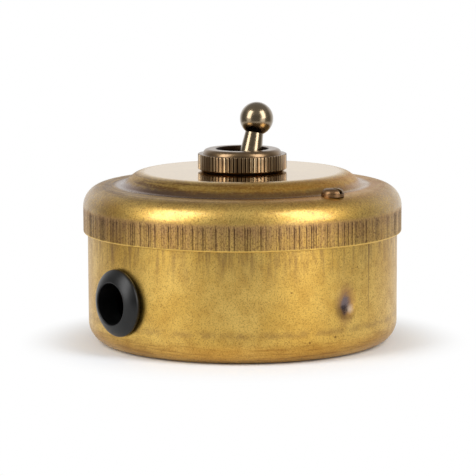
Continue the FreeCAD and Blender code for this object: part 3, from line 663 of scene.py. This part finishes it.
# painted shade: a purple-grey dark line in the corner at the step's foot, darker on the camera's left
corner_shade = (z + blot).rise_mm(ledge_z + 1.6, ledge_z + 0.5) * (1 - skirt)
corner_shade = corner_shade * radius.rise_mm(foot_radius + 1.6, foot_radius + 0.2)
colour = (corner_shade * (0.5 + side * 0.4)).tint(colour, CORNER_PAINTED_SHADE)
flat = radius.rise_mm(plateau_radius + 1.2, plateau_radius - 0.6)
colour = (flat * 0.7).tint(colour, POLISHED)
roughness = (roughness + 0.06 - corner_shade * 0.18) * (1 - flat) + flat * 0.11
relief = grain * (1 - flat)
lacquer = (1 - flat) * (1 - step) * (1 - skirt) * (0.30 + flake.rise(0.36, 0.60) * 0.55)
sockets = {"Base Color": colour, "Metallic": 1.0, "Roughness": roughness,
           "Coat Weight": lacquer, "Coat Roughness": 0.2}
end_finish(lid_finish, place, sockets, (relief, 0.20, 0.04))
dress(lid, "lid", "housing", lid_finish)

# %% [markdown]
# The box is a drawn cup, and its section has both skins of the sheet. It has a hole in its wall for the
# cable, and three in its base: two for the wall screws and one for the rivet of the earth terminal. Its
# skins are drawn in many short runs, so that the holes have small faces to be cut from.

# %% Box
BOX_SHEET = 0.9
BOX_CORNER = 5.0
BOX_STEPS = 384
BASE_MIDDLE = 14.0  # no hole comes nearer to the axis than this
BASE_PARTS = 20
WALL_PARTS = (48, 30)  # outside and inside
FIXING_INSET = 11.1
FIXING_HOLE = 2.25
RIVET_HOLE = 2.05
ENTRY_HOLE = 6.2

base_radius = box_radius - BOX_CORNER
box_inside = box_radius - BOX_SHEET
fixing_circle = box_radius - FIXING_INSET
entry_z = (grommet_low.z + grommet_high.z) / 2
earth = sum(corners("earth_pillar"), Vector()) / 2

section = Section(0, 0).line(BASE_MIDDLE, 0, 2).line(base_radius, 0, BASE_PARTS)
section.arc(base_radius, BOX_CORNER, -90, 10).line(box_radius, box_top, WALL_PARTS[0])
section.line(box_inside, box_top).line(box_inside, BOX_CORNER, WALL_PARTS[1])
section.arc(base_radius, BOX_CORNER, 90, 8).line(BASE_MIDDLE, BOX_SHEET, BASE_PARTS)
section.line(0, BOX_SHEET, 2)
cup = section.turned(BOX_STEPS)
pierce(cup, (-box_radius, 0, entry_z), ENTRY_HOLE, 0)
pierce(cup, (*earth.xy, 0), RIVET_HOLE, 2)
for side in (-1, 1):
    pierce(cup, (0, side * fixing_circle, 0), FIXING_HOLE, 2)

# %% [markdown]
# Under the lid's screw a strap is spot-welded inside the wall, and the electrode has left a small dent
# outside. The mesh there is made finer first. Each vertex of the outer skin is then set on the round wall
# again, and pressed in, most at the middle of the dent and not at all at its edge.

# %% Weld dent
DENT_HEIGHT = 12.9
DENT_RADIUS = 4.0
DENT_DEPTH = 0.65
DENT_CUTS = 3
FINER_REACH = 1.5  # both reaches are in radii of the dent
ROUND_REACH = 2.0

dent = Vector((0, -box_radius, DENT_HEIGHT))
outer_skin = box_radius - BOX_SHEET / 2


def near_dent(vertex, reach):
    return vertex.co.xy.length > outer_skin and (vertex.co - dent).length < reach * DENT_RADIUS


close = [edge for edge in cup.edges if all(near_dent(vertex, FINER_REACH) for vertex in edge.verts)]
bmesh.ops.subdivide_edges(cup, edges=close, cuts=DENT_CUTS, use_grid_fill=True)
for vertex in cup.verts:
    if near_dent(vertex, ROUND_REACH):
        reach = (vertex.co - dent).length / DENT_RADIUS
        sunk = DENT_DEPTH * max(0.0, 1 - reach ** 2) ** 2
        vertex.co.xy *= (box_radius - sunk) / vertex.co.xy.length
print("weld dent", DENT_DEPTH, "mm deep")

# %% [markdown]
# The box's finish adds the marks of its life: stain that ran down from under the lid and dried in upright
# streaks, streaks round its foot where it was polished on a wheel, a tide line above them, one faint
# upright line and a few pits. Its round foot is also painted browner, as painted shade and a painted warm
# reflection of the floor beside it.

# %% Box finish, stains
SEAM_X = 7.5
PITS = ((-3.2, 5.6, 0.45), (-9.8, 4.9, 0.4), (-14.0, 16.5, 0.3), (3.5, 21.0, 0.3))
FOOT_PAINTED_SHADE = rgb(176, 122, 50)
WHEEL_BROWN = rgb(132, 86, 36)
TIDE_BROWN = rgb(118, 82, 54)
SEAM_BROWN = rgb(110, 76, 50)
PIT_DARK = rgb(84, 52, 30)

box_finish, place = start_finish("aged_brass_box")
x, y, z = place.axes()
gold, roughness, grain = aged_gold(place)
drip = place.stretch(1.0, 1.0, 0.12).noise(1.2, 4.0, 0.65)
drip_reach = z.rise_mm(16.0, skirt_z + 0.5)
colour = (drip.rise(0.40, 0.68) * drip_reach * 0.6).tint(gold, STAIN_PURPLE)
polish = place.stretch(0.06, 0.06, 1.0).noise(0.5, 4.0, 0.65)
# painted shade and painted warm floor reflection in the box's round foot
foot_shade = z.rise_mm(5.6, 3.2) * z.rise_mm(0.4, 1.6)
colour = (foot_shade * 0.3).tint(colour, FOOT_PAINTED_SHADE)
colour = (polish.rise(0.48, 0.66) * z.rise_mm(6.5, 3.5) * 0.45).tint(colour, WHEEL_BROWN)
tide = z.rise_mm(5.8, 6.8) * z.rise_mm(8.4, 7.0)
tide = tide * place.noise(2.5, 4.0, 0.65).rise(0.35, 0.62)
colour = (tide * 0.38).tint(colour, TIDE_BROWN)
front = y.rise_mm(-20.0, -30.0)
seam = (x - SEAM_X * MM).size().rise_mm(0.22, 0.05) * front
seam = seam * z.rise_mm(8.0, 14.0)
colour = (seam * 0.5).tint(colour, SEAM_BROWN)
for across, height, size in PITS:
    spot = (across * MM, -math.sqrt(box_radius ** 2 - across ** 2) * MM, height * MM)
    colour = (place.distance(spot).rise_mm(size, size * 0.3) * 0.7).tint(colour, PIT_DARK)
print("box stained, with", len(PITS), "pits")

# %% [markdown]
# The weld has left heat colours round its dent, brown and then grey, with a ragged edge. A pale spot on the
# dent's lower lip is a painted glint, where that lip would catch the light.

# %% Box finish, weld
WELD_SQUAT = 0.6
GLINT_SPOT = (1.3, 11.6)
HEAT_BROWN = rgb(134, 92, 66)
SCORCH_GREY = rgb(104, 96, 102)
DENT_PAINTED_GLINT = rgb(176, 160, 142)

wobble = place.noise(1.4, 3.0, 0.6) * (1.4 * MM)
squat = place.stretch(1.0, 1.0, WELD_SQUAT)
spot = (0.0, -box_radius * MM, DENT_HEIGHT * WELD_SQUAT * MM)
reach = squat.distance(spot) + wobble
colour = (reach.rise_mm(4.6, 1.6) * 0.8).tint(colour, HEAT_BROWN)
scorch = reach.rise_mm(2.5, 1.4)
colour = (scorch * 0.85).tint(colour, SCORCH_GREY)
# a painted glint on the dent's lower lip
glint_place = (GLINT_SPOT[0] * MM, -box_radius * MM, GLINT_SPOT[1] * MM)
glint_reach = place.distance(glint_place) + wobble * 0.6
colour = (glint_reach.rise_mm(2.0, 0.6) * 0.7).tint(colour, DENT_PAINTED_GLINT)
roughness = roughness + 0.02 - scorch * 0.18
sockets = {"Base Color": colour, "Metallic": 1.0, "Roughness": roughness,
           "Coat Weight": 0.1, "Coat Roughness": 0.25}
end_finish(box_finish, place, sockets, (grain, 0.12, 0.04))
dress(cup, "box", "housing", box_finish)

# %% [markdown]
# The dress nut, the dolly and the screw are antique bronze: brass that was browned all over and then
# polished, so it mirrors the softboxes sharply but dimly. Fine turning lines ride round it. A piece can
# carry an attribute called root: above 0 it is darker, as browning that stayed in grooves and slots and as
# painted shade in the nut's mouth, and below 0 it is brighter, partly rubbed and partly a painted glint.

# %% Antique bronze
BRONZE_GRAIN = rgb(72, 52, 36)
ROOT_DARK = rgb(44, 28, 20)
RUBBED_AND_GLINT = rgb(214, 190, 150)


def antique_bronze(name, body_colour, worn_colour, roughness, lacquer):
    """Browned brass, as dark or as bright as its root attribute says."""
    material, place = start_finish(name)
    cloud = place.noise(2.6, 3.0, 0.6).rise(0.35, 0.7)
    turning = place.stretch(0.15, 0.15, 1.0).noise(0.22, 2.0)
    grain = place.noise(0.3, 2.0)
    colour = (cloud * 0.6).tint(body_colour, worn_colour)
    colour = (grain.rise(0.55, 0.75) * 0.12).tint(colour, BRONZE_GRAIN)
    root = place.add("ShaderNodeAttribute", {"attribute_name": "root"}, None, "Fac")
    # above 0: browning in grooves and slots, and painted shade in the nut's mouth
    colour = (root.rise(0.0, 0.7) * 0.85).tint(colour, ROOT_DARK)
    # below 0: brighter edges, partly rubbed and partly a painted glint
    worn_and_glint = root.rise(0.0, -1.0)
    colour = worn_and_glint.tint(colour, RUBBED_AND_GLINT)
    rough = roughness + turning.rise(0.3, 0.7) * 0.05
    sockets = {"Base Color": colour, "Metallic": 1.0, "Roughness": rough,
               "Coat Weight": lacquer, "Coat Roughness": 0.18}
    return end_finish(material, place, sockets, (grain, 0.015, 0.03))


bronze = antique_bronze("antique_bronze", rgb(132, 114, 86), rgb(142, 124, 95), 0.20, 1.0)
knurl_bronze = antique_bronze("knurl_bronze", rgb(122, 98, 70), rgb(140, 114, 82), 0.28, 0.3)

# %% [markdown]
# The dress nut is turned first: a chamfered band, a ledge, and a leaning collar with a round shoulder. A lip
# narrows its mouth above the thread. Each tooth of the knurl gets eight columns of vertices.

# %% Dress nut
NUT_THREAD = 7.05
NUT_LIP = 0.85
NUT_LIP_DEPTH = 1.3
NUT_CHAMFER = 0.6
NUT_CHAMFER_RUN = 1.0
NUT_BAND = 3.5
NUT_EDGE = 0.2
NUT_LEDGE = 1.2
COLLAR_SIDE = 0.2
COLLAR_LEAN = 12.0
COLLAR_ROUND = 1.2
NUT_TEETH = 70
TOOTH_COLUMNS = 8

nut_seat = nut_low.z
nut_ledge = nut_seat + NUT_CHAMFER + NUT_BAND
collar = nut_radius - NUT_LEDGE
lean_sin, lean_cos = math.sin(math.radians(COLLAR_LEAN)), math.cos(math.radians(COLLAR_LEAN))
side_x = collar - COLLAR_SIDE * lean_sin / lean_cos
mouth = NUT_THREAD - NUT_LIP
section = Section(NUT_THREAD, nut_seat).line(nut_radius - NUT_CHAMFER_RUN, nut_seat)
section.line(nut_radius, nut_seat + NUT_CHAMFER, 4).line(nut_radius, nut_ledge - NUT_EDGE, 4)
section.arc(nut_radius - NUT_EDGE, nut_ledge - NUT_EDGE, -90, 3).line(collar, nut_ledge)
section.line(side_x, nut_ledge + COLLAR_SIDE)
section.arc(side_x - COLLAR_ROUND * lean_cos, nut_top - COLLAR_ROUND, COLLAR_LEAN - 90, 12)
section.line(mouth + NUT_EDGE, nut_top, 2)
section.arc(mouth + NUT_EDGE, nut_top - NUT_EDGE, -90, 3).line(mouth, nut_top - NUT_LIP_DEPTH)
section.line(NUT_THREAD, nut_top - NUT_LIP_DEPTH).line(NUT_THREAD, nut_seat)
nut = section.turned(NUT_TEETH * TOOTH_COLUMNS)
print("nut turned, with a mouth", round(2 * mouth, 2), "mm across")

# %% [markdown]
# Then it is knurled with straight teeth, so a groove runs through everything outside its root. Each column
# of vertices is drawn in to the tooth's outline where it stands outside it. The root attribute is high in
# the grooves, because browning stays longest there, and high in the mouth as painted shade inside the hole.
# It is below 0 along the edge of a tooth, which is partly rubbed bright and partly a painted glint.

# %% Knurl
TOOTH_DEPTH = 0.35
TOOTH_LAND = 0.6
TOOTH_EDGE = (0.2, 0.3)  # where the bright edge lies, partly rubbed and partly a painted glint, in pitches from the middle of a tooth
EDGE_WEAR_AND_GLINT = (-1.0, 0.2)
WEAR_AND_GLINT_GAIN = 1.3

root = nut.verts.layers.float.new("root")
wear_and_glint = [chance.uniform(*EDGE_WEAR_AND_GLINT) for _ in range(2 * NUT_TEETH)]
for vertex in nut.verts:
    share = math.atan2(vertex.co.y, vertex.co.x) / math.tau * NUT_TEETH
    from_tip = abs(share - round(share))
    sunk = max(0.0, from_tip - TOOTH_LAND / 2) / (0.5 - TOOTH_LAND / 2)
    limit = nut_radius - TOOTH_DEPTH * sunk
    reach = vertex.co.xy.length
    if reach > limit - MERGE:
        vertex.co.xy *= min(1.0, limit / reach)
        # wear and a painted glint along the edge of a tooth
        at_edge = TOOTH_EDGE[0] < from_tip < TOOTH_EDGE[1]
        vertex[root] = min(0.0, WEAR_AND_GLINT_GAIN * wear_and_glint[round(2 * share)]) if at_edge else sunk
    # painted shade: the inside of the nut's mouth is made dark
    if reach < mouth + NUT_EDGE / 2:
        vertex[root] = 1.0
dress(nut, "dress_nut", "housing", knurl_bronze)

# %% [markdown]
# The dolly is one turned piece: a ball, a tapered stem, a ball to turn in and a hollow tail, drilled across
# for its pin. It is drawn upright and then leant over about its pivot, as it rests.

# %% Dolly
DOLLY_LEAN = 12.5
DOLLY_REACH = 20.6
BALL_RADIUS = 3.97
STEM_TOP = 2.15
STEM_FOOT = 3.5
PIVOT_BALL = 5.3
TAIL_RADIUS = 2.8
TAIL_BORE = 1.65
TAIL_LENGTH = 7.8
TAIL_ROOF = 2.4
PIN_HOLE = 1.25
DOLLY_STEPS = 96


def tilt(bm, degrees, axis, about=(0, 0, 0)):
    """Turn a whole mesh round an axis through a point."""
    turn = Matrix.Rotation(math.radians(degrees), 3, axis)
    bmesh.ops.rotate(bm, cent=about, matrix=turn, verts=bm.verts)


ball_z = pivot.z + DOLLY_REACH
ball_arc = 180 - math.degrees(math.asin(STEM_TOP / BALL_RADIUS))
foot_angle = math.degrees(math.asin(STEM_FOOT / PIVOT_BALL))
tail_angle = 180 - math.degrees(math.asin(TAIL_RADIUS / PIVOT_BALL))
section = Section(0, ball_z + BALL_RADIUS).arc(0, ball_z, ball_arc, 28)
section.line(STEM_FOOT, pivot.z + PIVOT_BALL * math.cos(math.radians(foot_angle)), 6)
section.arc(0, pivot.z, tail_angle - foot_angle, 16)
section.line(TAIL_RADIUS, pivot.z - TAIL_LENGTH).line(TAIL_BORE, pivot.z - TAIL_LENGTH)
section.line(TAIL_BORE, pivot.z - TAIL_ROOF).line(0, pivot.z - TAIL_ROOF)
lever = section.turned(DOLLY_STEPS)
pierce(lever, (0, 0, pivot.z), PIN_HOLE, 1)
tilt(lever, DOLLY_LEAN, "Y", pivot)
dress(lever, "dolly", "dolly", bronze)

# %% [markdown]
# The grommet is black rubber. Its flat flange has a round rim and touches the round wall only above and
# below, so a dark gap shows beside it. The section is spun about its own axis and laid over towards the
# cable, and the rows that seat on the wall are pressed on to it.

# %% Grommet
GROMMET_BORE = 4.8
GROMMET_LIP = 0.25
GROMMET_RIM = 0.7
GROMMET_SEAT = 0.2
GROMMET_INNER_FLANGE = 1.0
GROMMET_FIT = 0.05
GROMMET_STEPS = 96
FACE_SWELL = 12.0  # how far the face's slope changes to each side of the straight way, in degrees

grommet_rim = (grommet_high.z - grommet_low.z) / 2 - GROMMET_RIM
grommet_mouth, grommet_end = -grommet_low.x, -grommet_high.x
outer_wall, inner_wall = box_radius + GROMMET_FIT, box_inside - GROMMET_FIT
lip, lip_z = GROMMET_BORE + GROMMET_LIP, grommet_mouth - GROMMET_LIP
rim_z = outer_wall + GROMMET_RIM
neck = ENTRY_HOLE - GROMMET_FIT
seat = ENTRY_HOLE + GROMMET_SEAT
inner_flange = ENTRY_HOLE + GROMMET_INNER_FLANGE
apart = math.hypot(grommet_rim - lip, lip_z - rim_z)
slope = math.atan2(lip_z - rim_z, grommet_rim - lip) - math.asin((GROMMET_RIM - GROMMET_LIP) / apart)
start, stop = slope - math.radians(FACE_SWELL), slope + math.radians(FACE_SWELL)
section = Section(GROMMET_BORE, grommet_end + GROMMET_LIP).line(GROMMET_BORE, lip_z, 6)
section.arc(lip, lip_z, 90 + math.degrees(start), 8)
face_low = Vector((grommet_rim + GROMMET_RIM * math.sin(stop), 0, rim_z + GROMMET_RIM * math.cos(stop)))
chord = (face_low - section.tip.co).length
turn = math.atan2(section.tip.co.z - face_low.z, face_low.x - section.tip.co.x)
swell = chord / (2 * math.sin(math.radians(FACE_SWELL)))
middle = (section.tip.co + face_low) / 2
sink = swell * math.cos(math.radians(FACE_SWELL))
section.arc(middle.x - sink * math.sin(turn), middle.z - sink * math.cos(turn), 2 * FACE_SWELL, 10)
section.arc(grommet_rim, rim_z, 180 - math.degrees(stop), 10)
section.line(seat, outer_wall).line(seat, box_radius).line(neck, box_radius)
section.line(neck, inner_wall).line(inner_flange, inner_wall).line(inner_flange, grommet_end + GROMMET_LIP)
section.arc(inner_flange - GROMMET_LIP, grommet_end + GROMMET_LIP, 90, 3).line(lip, grommet_end)
section.arc(lip, grommet_end + GROMMET_LIP, 90, 3)
grommet = section.turned(GROMMET_STEPS)
for vertex in grommet.verts:
    if min(abs(vertex.co.z - wall) for wall in (box_radius, inner_wall)) < MERGE:
        vertex.co.z = math.sqrt(vertex.co.z ** 2 - vertex.co.y ** 2)
tilt(grommet, -90, "Y")
bmesh.ops.translate(grommet, vec=(0, 0, entry_z), verts=grommet.verts)
print("grommet stands", round(grommet_mouth - box_radius, 2), "mm proud of the wall")

# %% [markdown]
# Its rubber is nearly black, with a faint bloom that makes it duller in places, and a fine skin of pores.

# %% Rubber
RUBBER_BLACK = rgb(9, 9, 9)
RUBBER_BLOOM = rgb(18, 18, 18)

rubber, place = start_finish("black_rubber")
bloom = place.noise(2.2, 3.0, 0.6)
pores = place.noise(0.25, 2.0)
colour = bloom.rise(0.3, 0.75).tint(RUBBER_BLACK, RUBBER_BLOOM)
sockets = {"Base Color": colour, "Roughness": 0.30 + bloom * 0.12, "Specular IOR Level": 0.36}
end_finish(rubber, place, sockets, (pores, 0.08, 0.04))
dress(grommet, "cable_grommet", "housing", rubber)

# %% [markdown]
# The lid's screw is round-headed: a shallow crown runs into a brow of a smaller radius, which comes down
# upright to the lid. It is turned with the underside of its head at zero height.

# %% Lid screw
SCREW_SHANK = 1.5
SCREW_HEAD_HEIGHT = 1.9
CROWN_DOME = 8.0
CROWN_REACH = 1.6
SCREW_STEPS = 64

head_radius = screw_high.x
crown_angle = math.asin(CROWN_REACH / CROWN_DOME)
brow = (head_radius - CROWN_REACH) / (1 - math.sin(crown_angle))
brow_x = head_radius - brow
brow_z = SCREW_HEAD_HEIGHT - CROWN_DOME + (CROWN_DOME - brow) * math.cos(crown_angle)
shank_end = screw_low.z - ledge_z
section = Section(0, SCREW_HEAD_HEIGHT)
section.arc(0, SCREW_HEAD_HEIGHT - CROWN_DOME, math.degrees(crown_angle), 8)
section.arc(brow_x, brow_z, 90 - math.degrees(crown_angle), 10).line(head_radius, 0)
section.line(SCREW_SHANK, 0).line(SCREW_SHANK, shank_end).line(0, shank_end)
screw = section.turned(SCREW_STEPS)
print("screw turned, with a head", round(2 * head_radius, 2), "mm across")

# %% [markdown]
# For the slot, the head is sliced along both sides of the slot and along its floor. The strip between is
# extruded and pressed flat to that floor. The floor keeps its browning, and the edges of the slot are
# brighter, partly rubbed and partly a painted glint.

# %% Screw slot
SLOT_WIDTH = 1.05
SLOT_DEPTH = 1.1
SLOT_ANGLE = -82.0
SLOT_EDGE_ROOT = -0.7
SLOT_FLOOR_ROOT = 0.9

slot_floor = SCREW_HEAD_HEIGHT - SLOT_DEPTH
for point, normal in (((0, SLOT_WIDTH / 2, 0), (0, 1, 0)), ((0, -SLOT_WIDTH / 2, 0), (0, 1, 0)),
                      ((0, 0, slot_floor), (0, 0, 1))):
    everything = screw.verts[:] + screw.edges[:] + screw.faces[:]
    bmesh.ops.bisect_plane(screw, geom=everything, dist=MERGE, plane_co=point, plane_no=normal)
strip = [face for face in screw.faces if abs(face.calc_center_median().y) < SLOT_WIDTH / 2
         and face.calc_center_median().z > slot_floor]
made = bmesh.ops.extrude_face_region(screw, geom=strip)["geom"]
bmesh.ops.delete(screw, geom=strip, context="FACES")
for vertex in (item for item in made if isinstance(item, bmesh.types.BMVert)):
    vertex.co.z = slot_floor
bmesh.ops.remove_doubles(screw, verts=screw.verts, dist=MERGE)
bmesh.ops.recalc_face_normals(screw, faces=screw.faces)
root = screw.verts.layers.float.new("root")
for vertex in screw.verts:
    beside = abs(abs(vertex.co.y) - SLOT_WIDTH / 2) < MERGE
    if beside and vertex.co.z > slot_floor + MERGE:
        vertex[root] = SLOT_EDGE_ROOT
    elif abs(vertex.co.z - slot_floor) < MERGE:
        vertex[root] = SLOT_FLOOR_ROOT
tilt(screw, SLOT_ANGLE, "Z")
bmesh.ops.translate(screw, vec=(0, screw_y, ledge_z), verts=screw.verts)
screw_bronze = antique_bronze("screw_bronze", rgb(116, 87, 58), rgb(138, 106, 72), 0.40, 0.1)
dress(screw, "lid_screw", "housing", screw_bronze)

# %% [markdown]
# The pieces inside keep their solids, because their shapes are right as they are. They still get proper
# finishes: machined brass with a drawn grain, dull zinc on steel, a mottled dark moulding, natural nylon
# and bright silver contacts.

# %% Finishes inside
def inner_metal(name, low, high, roughness):
    """A bare metal with a fine drawn grain and soft clouds of tarnish."""
    material, place = start_finish(name)
    cloud = place.noise(4.0, 3.0, 0.6).rise(0.35, 0.7)
    drawn = place.stretch(0.12, 1.0, 1.0).noise(0.3, 2.0)
    sockets = {"Base Color": cloud.tint(low, high), "Metallic": 1.0, "Roughness": roughness + drawn * 0.16}
    return end_finish(material, place, sockets, (drawn, 0.08, 0.03))


def inner_moulding(name, low, high, roughness):
    """A moulded plastic with a faint mottle and a fine skin."""
    material, place = start_finish(name)
    mottle = place.noise(1.6, 4.0, 0.6)
    skin = place.noise(0.2, 2.0)
    sockets = {"Base Color": mottle.rise(0.35, 0.7).tint(low, high), "Roughness": roughness + mottle * 0.15}
    return end_finish(material, place, sockets, (skin, 0.05, 0.02))


inner_finishes = {
    "plain_brass": inner_metal("machined_brass", rgb(196, 160, 92), rgb(222, 190, 118), 0.22),
    "steel": inner_metal("zinc_steel", rgb(150, 152, 154), rgb(186, 187, 186), 0.28),
    "silver": inner_metal("contact_silver", rgb(206, 204, 198), rgb(230, 229, 225), 0.14),
    "moulding": inner_moulding("dark_moulding", rgb(34, 26, 22), rgb(52, 38, 31), 0.30),
    "nylon": inner_moulding("natural_nylon", rgb(222, 217, 202), rgb(234, 230, 218), 0.40),
}
# the bush's finish is painted shade: near black, for the dark inside of the nut's mouth
bush_painted_shade = inner_metal("bush_brass_painted_shade", rgb(22, 18, 15), rgb(34, 27, 21), 0.45)

# %% [markdown]
# Each solid takes the finish of its slot. Only the bush differs from its slot: it is painted near black as
# painted shade, for the dark ring that shows where it stands in the mouth of the nut.

# %% Dress the pieces inside
finished = []
for subpart in frame["record"]["subparts"]:
    finish = inner_finishes.get(subpart["material_slot"])
    # painted shade: the bush is near black
    if subpart["node"] == "bush":
        finish = bush_painted_shade
    if finish:
        mesh = frame["nodes"][subpart["node"]].data
        mesh.materials.clear()
        mesh.materials.append(finish)
        finished.append(subpart["node"])
print("finished inside:", ", ".join(sorted(finished)))

# %% [markdown]
# In the dolly's tail a small spring presses the plunger out. A stiff solid would let the plunger run into
# it. So it is wound again here, from one round of wire that spins and climbs, and set in place between the
# dolly and the plunger, tied to neither of them.

# %% Plunger spring
SPRING_WIRE = 0.22
SPRING_COIL = 1.33
SPRING_TURNS = 3
SPRING_TOP = -2.67  # the middle of the wire at each end, from the pivot
SPRING_FOOT = -4.93
STEPS_A_TURN = 24
WIRE_SIDES = 12

coil = bmesh.new()
bmesh.ops.create_circle(coil, cap_ends=True, segments=WIRE_SIDES, radius=SPRING_WIRE)
tilt(coil, 90, "X")
bmesh.ops.translate(coil, vec=(SPRING_COIL, 0, SPRING_FOOT), verts=coil.verts)
steps = SPRING_TURNS * STEPS_A_TURN
climb = (0, 0, (SPRING_TOP - SPRING_FOOT) / steps)
bmesh.ops.spin(coil, geom=coil.faces[:], cent=(0, 0, 0), axis=(0, 0, 1), dvec=climb,
               angle=math.tau * SPRING_TURNS, steps=steps)
bmesh.ops.recalc_face_normals(coil, faces=coil.faces)
tilt(coil, DOLLY_LEAN, "Y")
bmesh.ops.translate(coil, vec=pivot, verts=coil.verts)
lean = Matrix.Rotation(math.radians(DOLLY_LEAN), 3, "Y")
ends = [(pivot + lean @ Vector((0, 0, reach))) * MM for reach in (SPRING_TOP, SPRING_FOOT)]
dress(coil, "plunger_spring", "dolly", inner_finishes["steel"], ("plunger", *ends))
